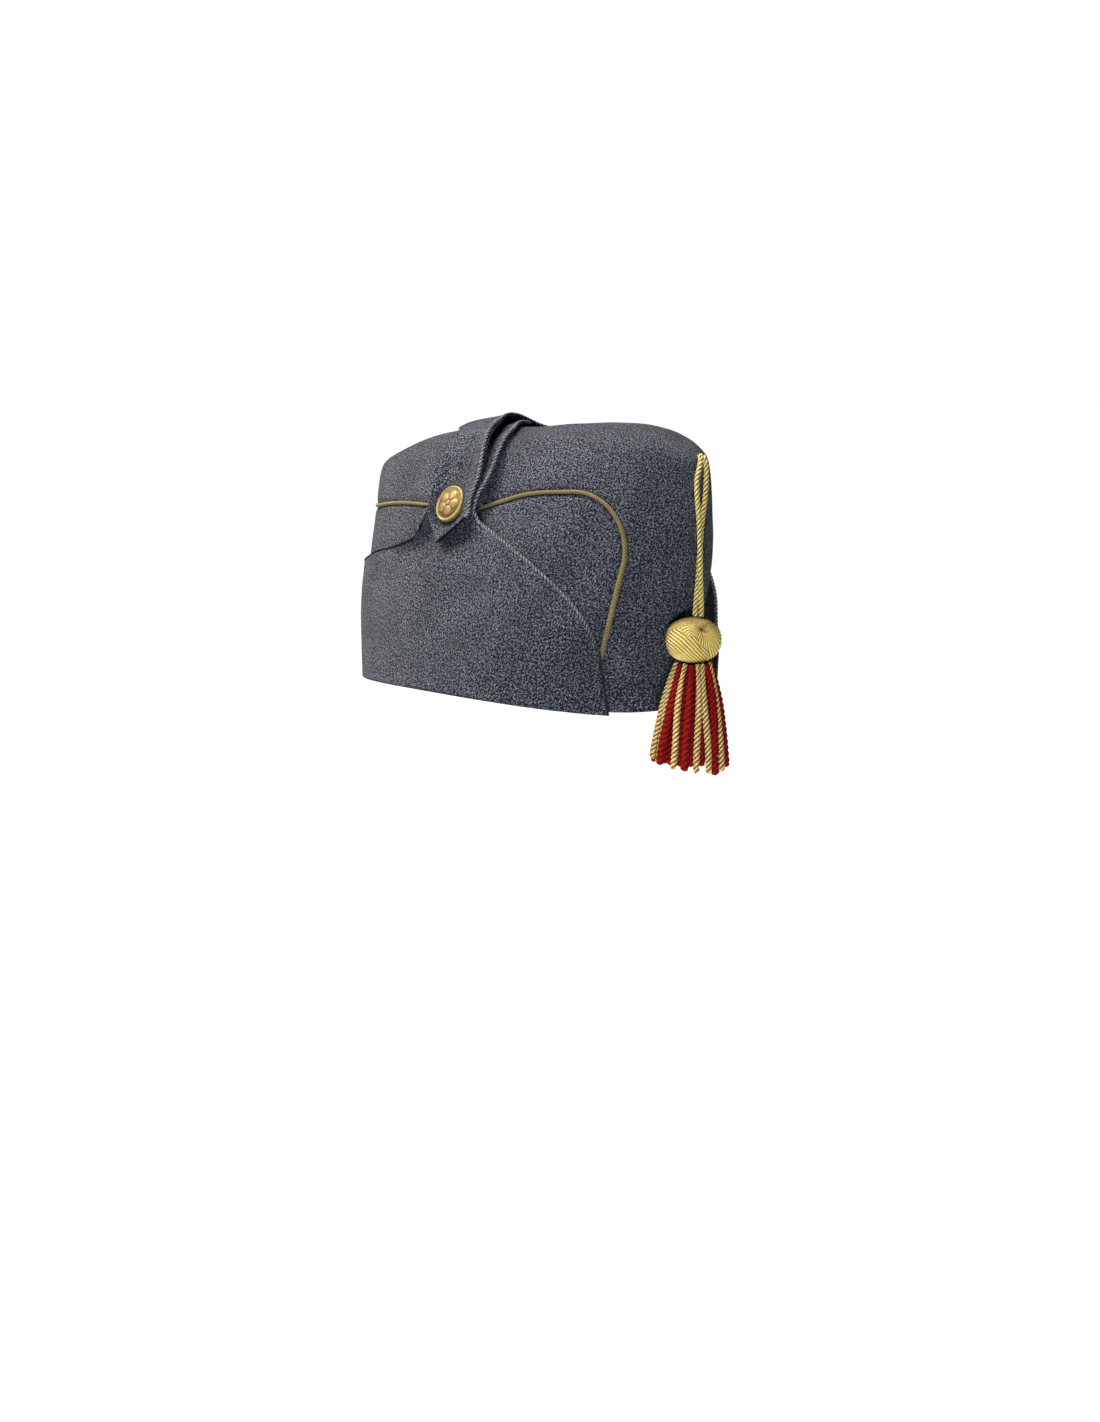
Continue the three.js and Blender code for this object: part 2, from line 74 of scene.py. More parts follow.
# The piped seam: up the front, round a corner, then back along the side (around, up)
SEAM_FRONT = 32.2
SEAM_CORNER = (55, 0.46)
SEAM_RUN = [(55, 0.668), (70, 0.654), (85, 0.614), (105, 0.618), (141, 0.646), (180, 0.69)]
SEAM_HALF_WIDTH = 0.1
SEAM_DIP = 1.5
SEAM_DIP_WIDTH = 1.7
# Way along the piping over which it thins, and how deep it sits in the seam
PIPING_THINS = (70, 130)
PIPING_SINK = 0.3

# Outline of the ear flaps (around, up)
FLAP_RIM_UP = -0.007
FLAP_FRONT_AT_RIM = 25
FLAP_FRONT_EDGE = [(33.3, 0.187), (41.2, 0.281), (56.8, 0.403), (80.6, 0.561)]
FLAP_SHOULDER = (98.6, 0.523)
LEFT_SHOULDER = (104, 0.53)
LEFT_REAR_START = 108
FLAP_REAR_EDGE = [(102, 0.485), (111, 0.461), (122.5, 0.447), (139, 0.435), (180, 0.43)]
FLAP_BACK_REACH = 0.4
LEFT_FORWARD = 7
LEFT_FORWARD_SPAN = (54, 84)
# Curl of the right flap's rear edge beside the tab: way along it, around, up, lift and width
REAR_FOLD = [
    (0, 97.4, 0.68, 1.6, 4),
    (0.25, 98, 0.615, 3.8, 4.2),
    (0.5, 98.2, 0.57, 5, 4.6),
    (0.7, 98.6, 0.523, 5.8, 5.2),
    (0.87, 102, 0.485, 4, 4),
    (1, 116, 0.456, 0, 4),
]
# Lift of the right flap's curled rear edge at which its painted shade is full
FOLD_SHADE_LIFT = 4
# Lifts of the flaps off the crown, in millimetres
FLAP_GAP = 1.2
RIM_GAP = 0.9
REAR_TOP_LIFT = 0.8
FLAP_SWELL = 2.6
STAND_OFF = 3.2
TONGUE_CURL = 0.9
TONGUE_TUCK = 1.4
LEFT_FRONT_LIFT = 5
STRAP_LIFT = 2.4
STRAP_CURL = 1.2
TAB_STAND_OFF = 2.8
TAB_LIFT = 3
TAB_REAR_LIFT = 3.4
BUTTON_PULL = 1.6
PUCKER_DEPTH = 1.2
# Bulges of the flaps: around, up, span around, span up
STAND_OFF_SPOT = (82, 0.63, 6, 0.055)
SWELL_SPOT = (94, 0.37, 12, 0.11)
# Where lifts rise and fall: start, full, ebb and end, around the cap or up the wall
REAR_TOP_SPAN = (104, 110, 122, 134)
TONGUE_CURL_SPAN = (0.6, 0.64, 0.7, 0.82)
STRAP_CURL_SPAN = (1.07, 1.13, 1.2, 1.32)
TAB_REAR_SPAN = (1.2, 1.28, 1.39, 1.43)
BUTTON_PULL_SPAN = (1.12, 1.3, 1.4, 1.43)
STRAP_HEM_SPAN = (0.92, 0.99, 1.33, 1.38)
PUCKER_SPAN = (7, 12, 18, 34)
# Depth of the folded hems, their share on the strap, and the cloth that they stay clear of
HEM_DEPTH = 6.5
STRAP_HEM_SHARE = 0.42
STRAP_FLOOR = 2.4
TONGUE_FLOOR = 0.3
# Flaps laid flat, in metres: width and length, and the area of the cut cloth
RIGHT_FLAT = (0.25, 0.15)
RIGHT_AREA = 0.021
LEFT_FLAT = (0.25, 0.2)
LEFT_AREA = 0.024
# Places in the bolt of cloth that the panels are cut from, in metres
CROWN_RIGHT_WEAVE = (0.0, 0.0)
CROWN_LEFT_WEAVE = (0.83, 0.29)
FLAP_RIGHT_WEAVE = (0.37, 0.61)
FLAP_LEFT_WEAVE = (1.37, 0.48)

# Tongues of the flaps: up, front edge, rear edge, curl of the front, tuck of the rear, skew
TONGUE = [
    (0.594, 15.8, -16.4, 0, 0, 0.021),
    (0.66, 18.5, -16.2, 0.6, 0, 0),
    (0.73, 20, -17, 1.5, 0, 0),
    (0.8, 18, -18.5, 1.5, 0, 0),
    (0.86, 14, -22, 1.2, 0, 0),
    (0.92, 5.5, -26, 0.8, 0, 0),
    (1, -7, -32, 0.3, 0, 0),
    (1.06, -13, -29, 0, 0, 0),
]
STRAP = [
    (0.594, 13.6, -21.2, 0, 0, 0.021),
    (0.66, 14, -20, 0.3, 0, 0),
    (0.73, 10.5, -22, 0.6, 0, 0),
    (0.8, 1.5, -28, 0.8, 0.3, 0),
    (0.87, -9.5, -38, 0.4, 1, 0),
    (0.93, -15.5, -47.5, 1, 2.5, 0),
    (1, -15.5, -52, 2.2, 3, 0),
    (1.07, -6.5, -45, 2.7, 2.8, 0),
    (1.13, 3.6, -31.5, 3.2, 1.5, 0),
    (1.2, 11, -24, 3.2, 0.3, 0),
    (1.27, 14.5, -21, 2.4, 0, 0),
    (1.34, 15.6, -19, 1, 0, 0),
    (1.4, 15.2, -13.5, 0, 0, 0.045),
    (1.437, 16.7, -1.5, 0, 0, 0.085),
]

# Button: place, size, seat over the layers of cloth, cells, and size of its patina
BUTTON_AROUND = 90.2
BUTTON_UP = 0.61
BUTTON_RADIUS = 10.2
BUTTON_SEAT = 5.8
BUTTON_RING = 240
BUTTON_SPACING = 0.15
BUTTON_FACE = 0.84
BUTTON_WEAVE = 20
# Button face from the middle of the back to the middle of the front: share of the radius, height
BUTTON_PROFILE = [
    (0, 0), (0.5, 0), (0.94, 0), (0.99, 0.4), (1, 1.3), (1, 2.1), (0.97, 2.6), (0.91, 2.75), (0.86, 2.5),
    (0.7, 2.9), (0.45, 3.3), (0.2, 3.55), (0, 3.6),
]

# Cord legs: forward, right, height, spread of the two legs, turn of one round the other
CORD_ROUTE = [
    (123, 0.4, 127, 0.3, -12),
    (131, 1.5, 127.6, 0.8, -12),
    (133.3, 3, 123.6, 1.8, -16),
    (134, 4.6, 116.5, 2.7, -18),
    (134.3, 5.1, 107, 2.5, -10),
    (134.2, 5.3, 95, 1.9, 20),
    (133.5, 4.9, 78, 1.5, 48),
    (132.7, 4.4, 62, 1.5, 75),
    (132.1, 4.2, 51, 1.5, 120),
    (131.9, 4.1, 44.9, 1.5, 140),
]
CORD_EXIT = 1
CORD_LEGS = ((1, "tassel_cord_right"), (-1, "tassel_cord_left"))
# Tassel head: middle (forward, right, height) and half sizes
HEAD_MIDDLE = (130.3, 5.7, 32.7)
HEAD_HALF = (14.5, 13.5, 11.6)
HEAD_ROUNDNESS = 2.3
# Its winding: where the threads gather, the way across the crossing threads, and the side that they cover
HEAD_POLE = (-0.21, -0.778, 0.588)
HEAD_CROSSING = (0.596, -0.397, 0.696)
HEAD_CROSSED = (-0.722, 0.034, -0.68)
HEAD_THREADS = 38
HEAD_CROSS_THREADS = 8.5
THREAD_GROOVE = 1.2
THREAD_HEIGHT = 1.3
DIMPLE_DEPTH = 2.2
DIMPLE_WIDTH = 0.22
HEAD_RING = 360
HEAD_ROWS = 140

# Fringe strands: turn from the front right, colour, flare and height of the loose end
FRINGE_LEAN = (-1, 2.2)
FRINGE_FRONT_TURN = 43
STRANDS = [
    (-82, "gold", 19.5, -29.5),
    (-68, "gold", 17.6, -31),
    (-54, "red", 18.5, -31.5),
    (-31, "gold", 18, -33),
    (-9, "red", 18, -33.5),
    (11, "gold", 18.5, -34.5),
    (29, "gold", 18.5, -35),
    (48, "red", 18.5, -36.5),
    (67, "gold", 18.5, -35.5),
    (88, "red", 19.5, -34.5),
    (109, "gold", 18.5, -33),
    (130, "red", 18, -34.5),
    (151, "gold", 17.5, -32),
    (172, "red", 17.5, -34),
    (193, "gold", 17.5, -33),
    (214, "red", 17.5, -34.5),
    (235, "gold", 18, -32),
    (256, "red", 18.5, -32.5),
]
NECK = {"gold": (8.8, 21.5), "red": (8.6, 21)}
CORE_STRANDS = 14
CORE_NECK = (4, 20)
CORE_FLARE = 13
CORE_END = -32
STRAND_SWAY = 0.9
CORE_SWAY = 0.5
STRAND_BULGE = 0.7
STRAND_POINTS = 9
STRAND_END = 2.2

# Ropes: way for one turn of the twist, spacing of the points along them, and the radius of the dark ropes
# that paint shadow lines along the flaps' edges
CORD_PITCH = 7.4
PIPING_PITCH = 6
EDGE_PITCH = 4.6
DARK_EDGE_PITCH = 4.2
GOLD_PITCH = 7.6
RED_PITCH = 9.6
CORD_SPACING = 0.4
ROPE_SPACING = 0.45
DARK_EDGE_SPACING = 0.8
DARK_EDGE_RADIUS = 0.85

# Camera in metres, with its lens and film height in millimetres
CAMERA_PLACE = (-1.0751, -1.1588, 0.2486)
CAMERA_AIM = (0.675, 0.718, -0.1685)
CAMERA_LENS = 72.91
CAMERA_FILM = 36
# Soft lights: name, place, watts, diameter, tint
LIGHTS = [
    ("key", (-0.6, 1.0, 1.9), 56, 0.7, (1, 0.975, 0.935)),
    ("rear", (-1.1, 1.45, 1.0), 12, 0.8, (1, 0.98, 0.945)),
    ("top", (-0.3, 0.1, 2.1), 30, 0.8, (0.97, 0.985, 1)),
    ("low", (-0.7, -0.8, -0.22), 7.6, 0.3, (0.84, 0.92, 1)),
]
LIGHT_AIM = (0, 0, 0.06)
FLOOR_RADIUS = 14
SKY_GLOW = 0.02

# Numbers of cells of the cloth
CORNER_STEPS = 20
RUN_STEPS = 92
FRONT_STEPS = 14
WALL_STEPS = 42
FRONT_WALL_STEPS = 30
TOP_STEPS = 34
FLAP_FRONT_STEPS = 36
FLAP_REAR_STEPS = 50
FLAP_WALL_STEPS = 34
TONGUE_STEPS = 22
TONGUE_ROWS = 30
STRAP_ROWS = 60
REAR_ROPE_ROWS = 5
EDGE_STEPS = 3
FRONT_SEAM_STEPS = 30


def length(name, description, default):
    """A length setting, in metres."""
    return FloatProperty(name=name, description=description, default=default, unit="LENGTH")


class CapSizes(bpy.types.PropertyGroup):
    """Sizes of the cloth and the ropes."""

    crown_cloth: length("Crown cloth", "Thickness of the crown's wool", 0.002)
    flap_cloth: length("Flap cloth", "Thickness of the flaps' wool", 0.0018)
    ripple: length("Ripple", "Height of the cloth's soft unevenness", 0.0005)
    edge_rope: length("Edge rope", "Diameter of the flaps' rolled edge", 0.0019)
    piping_front: length("Piping at the front", "Diameter of the piping up the front", 0.003)
    piping_side: length("Piping at the side", "Diameter of the piping along the side", 0.0021)
    cord: length("Cord", "Diameter of each leg of the tassel cord", 0.0029)
    gold_strand: length("Gold strand", "Diameter of the fringe's gold strands", 0.0037)
    red_strand: length("Red strand", "Diameter of the fringe's red strands", 0.0048)
    floor_drop: length("Floor drop", "Depth of the floor below the head opening", 0.45)


def colour(name, description, default):
    """A colour setting, in linear light."""
    return FloatVectorProperty(
        name=name, description=description, default=default, subtype="COLOR", size=3, min=0, max=1
    )


class CapColours(bpy.types.PropertyGroup):
    """Colours of the cloth, silk and metal."""

    wool_dark: colour("Dark wool", "Dark yarn of the wool", (0.005, 0.008, 0.019))
    wool_light: colour("Light wool", "Light yarn of the wool", (0.262, 0.268, 0.286))
    lining: colour("Lining", "Inside of the cap", (0.016, 0.018, 0.023))
    # The deep colours below are painted shade in the threads' grooves, and the bright ones painted glints
    gold_deep: colour("Deep gold", "Gold silk in the grooves", (0.1, 0.055, 0.008))
    gold_silk: colour("Gold silk", "Gold silk of the cord and tassel", (0.95, 0.69, 0.11))
    gold_bright: colour("Bright gold", "Glints of the gold silk", (1.0, 0.9, 0.56))
    strand_deep: colour("Deep strand", "Gold strands of the fringe in the grooves", (0.13, 0.064, 0.012))
    strand_gold: colour("Gold strand", "Gold strands of the fringe", (0.88, 0.56, 0.17))
    strand_bright: colour("Bright strand", "Glints of the gold strands", (1.0, 0.78, 0.4))
    piping_deep: colour("Deep piping", "Piping between its threads", (0.07, 0.05, 0.014))
    piping_gold: colour("Piping", "Gold thread of the piping", (0.31, 0.23, 0.08))
    piping_bright: colour("Bright piping", "Glints of the piping", (0.42, 0.335, 0.155))
    red_deep: colour("Deep red", "Red strands in the grooves", (0.2, 0.003, 0.003))
    red_silk: colour("Red silk", "Red strands of the fringe", (0.235, 0.003, 0.003))
    red_bright: colour("Bright red", "Glints of the red strands", (0.35, 0.012, 0.008))
    button_gold: colour("Button gold", "Gilt of the button", (0.41, 0.295, 0.13))
    button_tarnish: colour("Button tarnish", "Tarnish of the button", (0.13, 0.08, 0.028))
    floor: colour("Floor", "Pale floor", (0.5, 0.5, 0.5))


# Shape of the crown


def spline(rows):
    """A smooth curve through a table: its other columns at a place in the first one."""
    table = np.array(rows, dtype=float)
    places = table[:, 0]
    values = table[:, 1:]
    last = len(places) - 1

    def at(place):
        place = np.clip(np.asarray(place, dtype=float), places[0], places[-1])
        i = np.clip(np.searchsorted(places, place, side="right"), 1, last)
        before = np.where(i > 1, i - 2, i)
        after = np.where(i < last, i + 1, i - 1)
        half = (places[i] - places[i - 1]) / 2
        pull_back = half / (places[i - 1] - places[before])
        pull_on = half / (places[after] - places[i])
        p = (place - places[i - 1]) / (2 * half)
        shares = (
            (before, pull_back * (-p ** 3 + 2 * p ** 2 - p)),
            (
                i - 1,
                (1 + pull_back) * p ** 3 - (1.5 + 2 * pull_back) * p ** 2 - (0.5 - pull_back) * p + 1,
            ),
            (i, -(1 + pull_on) * p ** 3 + (1.5 + pull_on) * p ** 2 + 0.5 * p),
            (after, pull_on * (p ** 3 - p ** 2)),
        )
        return sum(share[..., None] * values[row] for row, share in shares)

    return at


section_at = spline(SECTIONS + FAR_SIDE)
ridge_at = spline(RIDGE)
seam_at = spline(SEAM_RUN)


def smooth(value, low, high):
    """A soft step from 0 at low to 1 at high."""
    share = np.clip((np.asarray(value, dtype=float) - low) / (high - low), 0, 1)
    return share * share * (3 - 2 * share)


def rise_and_fall(value, start, full, ebb, end):
    """A soft share that rises from start to full and falls from ebb to end."""
    return smooth(value, start, full) * (1 - smooth(value, ebb, end))


def in_cap(forward, right, height):
    """Points of the cap's frame, in millimetres."""
    return np.stack(np.broadcast_arrays(-right, -forward, height), axis=-1).astype(float)


def unit(vectors):
    """Directions of vectors, with length 1."""
    return vectors / np.linalg.norm(vectors, axis=-1, keepdims=True)


def crown_point(up, around):
    """Points of the crown's outer face; around is in degrees from the front to the wearer's right."""
    wide, rise, front, back = np.moveaxis(section_at(up), -1, 0)
    cos = np.cos(np.radians(around))
    sin = np.sin(np.radians(around))
    shrink = 1.0
    for turn, climb, depth, span_turn, span_climb in HOLLOWS:
        side = np.abs(around) if turn > 0 else around
        away = ((side - turn) / span_turn) ** 2 + ((up - climb) / span_climb) ** 2
        shrink = shrink - depth / SECTIONS[1][1] * np.exp(-away)
    forward = np.where(cos > 0, front, back) * cos * shrink
    rim = -RIM_DIP * cos * cos
    height = rim + (ridge_at(forward)[..., 0] - rim) * rise
    return in_cap(forward, wide * sin * shrink, height)


def wall_normal(up, around):
    """Outward directions of one side of the crown."""
    climb = crown_point(up + 0.004, around) - crown_point(up - 0.004, around)
    turn = crown_point(up, around + 0.5) - crown_point(up, around - 0.5)
    return unit(np.cross(climb, turn))


def crown_normal(up, around):
    """Outward directions; along the ridge the mean of the two sides."""
    band = 0.015
    near = wall_normal(np.minimum(up, 1 - band), around)
    far = wall_normal(np.minimum(2 - up, 1 - band), -around)
    share = np.clip((up - (1 - band)) / (2 * band), 0, 1)[..., None]
    return unit(near * (1 - share) + far * share)


def around_at(up, forward):
    """The turn at which the crown reaches a forward place."""
    front, back = np.moveaxis(section_at(up), -1, 0)[2:]
    return np.degrees(np.arccos(forward / np.where(forward > 0, front, back)))


def unevenness(points, height):
    """Soft waves of the cloth, from the place on the crown."""
    flat = points.reshape(-1, 3)
    waves = [noise.noise(Vector(p) / 34) + 0.45 * noise.noise(Vector(p) / 13) for p in flat]
    return height * np.array(waves).reshape(points.shape[:-1])


def arc_lengths(points):
    """Way along a line of points, from its first one."""
    return np.concatenate([[0], np.cumsum(np.linalg.norm(np.diff(points, axis=0), axis=1))])


turn_table = np.linspace(0, 180, 181)
turn_ways = arc_lengths(crown_point(np.full(181, 0.55), turn_table))
climb_table = np.linspace(-0.1, 2.1, 221)
climb_ways = arc_lengths(crown_point(climb_table, np.full(221, 90.0)))


def weave_place(up, around):
    """Place in the flat cloth, in metres: round the cap and up the wall."""
    along = np.interp(np.abs(around), turn_table, turn_ways)
    climb = np.interp(up, climb_table, climb_ways)
    return np.stack(np.broadcast_arrays(along, climb), axis=-1) * MM


# Meshes


def grid_cells(mesh, columns, rows):
    """Adds a grid; gives its vertices with their column and row, and its faces."""
    made = bmesh.ops.create_grid(mesh, x_segments=columns - 1, y_segments=rows - 1, size=1)
    places = {}
    for vert in made["verts"]:
        column = round((vert.co.x + 1) / 2 * (columns - 1))
        row = round((vert.co.y + 1) / 2 * (rows - 1))
        places[vert] = (column, row)
    faces = list({face: None for vert in made["verts"] for face in vert.link_faces})
    return places, faces


def lay_grid(mesh, uv, points, weave, flip=False, slot=0):
    """Adds a grid laid through an array of points in millimetres, with its place in the weave."""
    places, faces = grid_cells(mesh, *points.shape[:2])
    for vert, place in places.items():
        vert.co = points[place] * MM
    for face in faces:
        face.smooth = True
        face.material_index = slot
        for loop in face.loops:
            loop[uv].uv = weave[places[loop.vert]]
    if flip:
        bmesh.ops.reverse_faces(mesh, faces=faces)
    return places


def put_in_scene(mesh, name, materials):
    """Makes an object of a mesh, which rides on the cap."""
    data = bpy.data.meshes.new(name)
    mesh.to_mesh(data)
    mesh.free()
    for material in materials:
        data.materials.append(material)
    piece = bpy.data.objects.new(name, data)
    bpy.context.scene.collection.objects.link(piece)
    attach(piece, "root")
    return piece


def new_mesh():
    """An empty mesh with a layer for the weave and one for the cloth's depth."""
    mesh = bmesh.new()
    mesh.verts.layers.deform.verify()
    return mesh, mesh.loops.layers.uv.new("weave")


def join_seams(mesh):
    """Joins vertices that lie in the same place."""
    bmesh.ops.remove_doubles(mesh, verts=mesh.verts[:], dist=0.00001)


def thicken(piece, thickness, group, inside, edge, sharp=0.0):
    """Gives a sheet its thickness, inwards from its face, and rounds its edges."""
    cloth = piece.modifiers.new("cloth", "SOLIDIFY")
    cloth.thickness = thickness
    cloth.offset = -1
    cloth.use_even_offset = False
    cloth.material_offset = inside
    cloth.material_offset_rim = edge
    cloth.vertex_group = group
    cloth.edge_crease_inner = sharp
    cloth.edge_crease_outer = sharp
    rounding = piece.modifiers.new("rounding", "SUBSURF")
    rounding.levels = 1
    rounding.render_levels = 1


def along_path(points, spacing):
    """A smooth line through points, at an even spacing in millimetres."""
    ways = arc_lengths(points)
    keep = np.concatenate([[True], np.diff(ways) > 1e-6])
    curve = spline(np.column_stack([ways[keep], points[keep]]))
    return curve(np.linspace(0, ways[-1], max(2, round(ways[-1] / spacing) + 1)))


def carried_frames(path):
    """Two directions across a path, carried along it without twist."""
    ahead = unit(np.gradient(path, axis=0))
    side = np.cross(ahead[0], (0.3, 0.2, 0.93))
    sides = []
    for direction in ahead:
        side = unit(side - direction * np.dot(side, direction))
        sides.append(side)
    sides = np.array(sides)
    return sides, np.cross(ahead, sides)


def lobed(turn, lobes, depth):
    """Radius of a rope of round strands, as a share of its outer radius."""
    half = math.pi / lobes
    off = (turn + half) % (2 * half) - half
    return depth * np.cos(off) + np.sqrt((1 - depth) ** 2 - (depth * np.sin(off)) ** 2)


def add_rope(mesh, uv, path, radius, pitch, lobes=3, ring=18, depth=0.42, start=0.0, slot=0):
    """Adds a twisted rope along a path, in millimetres, with closed ends."""
    ways = arc_lengths(path)
    sides, others = carried_frames(path)
    radius = np.broadcast_to(radius, ways.shape).copy()
    radius[[0, -1]] = 0.001
    turn = np.linspace(0, 2 * math.pi, ring + 1)[:, None]
    twist = (start + 2 * math.pi * ways / pitch)[None, :]
    out = radius[None, :] * lobed(turn - twist, lobes, depth)
    across = sides[None] * np.cos(turn)[..., None] + others[None] * np.sin(turn)[..., None]
    points = path[None] + across * out[..., None]
    phase = lobes * (turn - twist) / (2 * math.pi) + 0.5
    weave = np.stack(np.broadcast_arrays(phase, ways[None] * MM), axis=-1)
    lay_grid(mesh, uv, points, weave, slot=slot)


def rounded_ends(ways, radius, reach):
    """Radius along a strand that closes in a round end."""
    left = np.clip((ways[-1] - ways) / reach, 0, 1)
    return radius * np.sqrt(1 - (1 - left) ** 2)


def close_up(mesh):
    """Joins a mesh into a closed skin that faces outwards."""
    join_seams(mesh)
    bmesh.ops.recalc_face_normals(mesh, faces=mesh.faces[:])


# Shading


def add_node(tree, kind, inputs=None, **settings):
    """Adds a node; an input takes a value or another node's output."""
    node = tree.nodes.new(kind)
    for name, value in settings.items():
        setattr(node, name, value)
    for name, value in (inputs or {}).items():
        if isinstance(value, bpy.types.NodeSocket):
            tree.links.new(value, node.inputs[name])
        else:
            node.inputs[name].default_value = value
    return node


def maths(tree, operation, first, second=0.0, third=0.0):
    node = add_node(tree, "ShaderNodeMath", {0: first, 1: second, 2: third}, operation=operation)
    return node.outputs[0]


def soft_range(tree, value, low, high, to_low=0.0, to_high=1.0):
    node = add_node(
        tree, "ShaderNodeMapRange",
        {"Value": value, "From Min": low, "From Max": high, "To Min": to_low, "To Max": to_high},
        interpolation_type="SMOOTHSTEP",
    )
    return node.outputs["Result"]


def mix_colour(tree, factor, first, second, blend="MIX"):
    node = add_node(
        tree, "ShaderNodeMix", {0: factor, 6: first, 7: second}, data_type="RGBA", blend_type=blend
    )
    return node.outputs[2]


def flat_noise(tree, vector, scale, detail=2.0, rough=0.5):
    node = add_node(
        tree, "ShaderNodeTexNoise",
        {"Vector": vector, "Scale": scale, "Detail": detail, "Roughness": rough}, noise_dimensions="2D",
    )
    return node.outputs["Fac"]


def start_group(name, inputs, outputs):
    """A node group with its sockets; gives the tree, its input node's outputs and its output node."""
    tree = bpy.data.node_groups.new(name, "ShaderNodeTree")
    for label, kind in inputs:
        tree.interface.new_socket(label, in_out="INPUT", socket_type=kind)
    for label, kind in outputs:
        tree.interface.new_socket(label, in_out="OUTPUT", socket_type=kind)
    return tree, tree.nodes.new("NodeGroupInput").outputs, tree.nodes.new("NodeGroupOutput")


def slanted_dashes(tree, weave, angle, fineness):
    """Dashes of yarn that lie at an angle to the cloth."""
    turned = add_node(
        tree, "ShaderNodeVectorRotate", {"Vector": weave, "Angle": math.radians(angle)},
        rotation_type="Z_AXIS",
    ).outputs["Vector"]
    drawn = add_node(tree, "ShaderNodeVectorMath", {0: turned, 1: fineness}, operation="MULTIPLY")
    return flat_noise(tree, drawn.outputs["Vector"], 1.0, 1.5, 0.5)


def wool_group():
    """Wool melange: slanting light and dark dashes of yarn, with loose fibres."""
    name = "wool melange"
    if name in bpy.data.node_groups:
        return bpy.data.node_groups[name]
    tree, given, result = start_group(
        name,
        [("Weave", "NodeSocketVector"), ("Dark", "NodeSocketColor"), ("Light", "NodeSocketColor")],
        [("Color", "NodeSocketColor"), ("Height", "NodeSocketFloat")],
    )
    climbing = slanted_dashes(tree, given["Weave"], 48, (780, 1750, 1))
    falling = slanted_dashes(tree, given["Weave"], -42, (880, 1750, 1))
    dashes = maths(tree, "MAXIMUM", climbing, maths(tree, "SUBTRACT", falling, 0.02))
    fibres = flat_noise(tree, given["Weave"], 2200, 2.0, 0.6)
    patches = flat_noise(tree, given["Weave"], 45, 2.0, 0.5)
    yarn = maths(tree, "MULTIPLY_ADD", fibres, 0.25, maths(tree, "MULTIPLY", dashes, 0.75))
    share = soft_range(tree, yarn, 0.552, 0.63)
    plain = mix_colour(tree, share, given["Dark"], given["Light"])
    tone = soft_range(tree, patches, 0.3, 0.7, 0.86, 1.12)
    grey = add_node(
        tree, "ShaderNodeCombineColor", {"Red": tone, "Green": tone, "Blue": tone}
    ).outputs["Color"]
    tree.links.new(mix_colour(tree, 1.0, plain, grey, "MULTIPLY"), result.inputs["Color"])
    tree.links.new(share, result.inputs["Height"])
    return tree


def thread_group():
    """Twisted thread: painted shade in the grooves between round strands, and painted glints on fine
    fibres along them.
    """
    name = "twisted thread"
    if name in bpy.data.node_groups:
        return bpy.data.node_groups[name]
    tree, given, result = start_group(
        name,
        [
            ("Weave", "NodeSocketVector"), ("Deep", "NodeSocketColor"), ("Thread", "NodeSocketColor"),
            ("Bright", "NodeSocketColor"),
        ],
        [("Color", "NodeSocketColor"), ("Height", "NodeSocketFloat")],
    )
    place = add_node(tree, "ShaderNodeSeparateXYZ", {"Vector": given["Weave"]}).outputs
    strand = maths(tree, "FRACT", place["X"])
    off = maths(tree, "ABSOLUTE", maths(tree, "MULTIPLY_ADD", strand, 2.0, -1.0))
    crest = soft_range(tree, off, 0.95, 0.2)
    lay = maths(tree, "MULTIPLY_ADD", place["Y"], 900.0, maths(tree, "MULTIPLY", place["X"], 5.0))
    run = maths(tree, "MULTIPLY_ADD", place["Y"], 420.0, maths(tree, "MULTIPLY", place["X"], -0.6))
    lines = add_node(tree, "ShaderNodeCombineXYZ", {"X": lay, "Y": run}).outputs["Vector"]
    fibres = flat_noise(tree, lines, 1.3, 2.0, 0.6)
    glint = soft_range(tree, fibres, 0.47, 0.64)
    # Painted shade in the grooves and painted glints on the crests
    body = mix_colour(tree, crest, given["Deep"], given["Thread"])
    lit = mix_colour(tree, maths(tree, "MULTIPLY", glint, crest), body, given["Bright"])
    tree.links.new(lit, result.inputs["Color"])
    height = maths(tree, "MULTIPLY_ADD", fibres, 0.5, maths(tree, "MULTIPLY", crest, 0.5))
    tree.links.new(height, result.inputs["Height"])
    return tree


def start_material(name):
    """A material with its tree and shader."""
    material = bpy.data.materials.new(name)
    material.use_nodes = True
    tree = material.node_tree
    return material, tree, tree.nodes["Principled BSDF"]


def weave_coordinates(tree):
    return add_node(tree, "ShaderNodeUVMap", uv_map="weave").outputs["UV"]


def bump(tree, shader, height, strength, distance):
    relief = add_node(
        tree, "ShaderNodeBump", {"Height": height, "Strength": strength, "Distance": distance}
    )
    tree.links.new(relief.outputs["Normal"], shader.inputs["Normal"])


def set_shader(shader, **values):
    """Sets the shader's own sockets, named with underscores for spaces."""
    for name, value in values.items():
        shader.inputs[name.replace("_", " ")].default_value = value


def opaque(value):
    return (*value, 1)


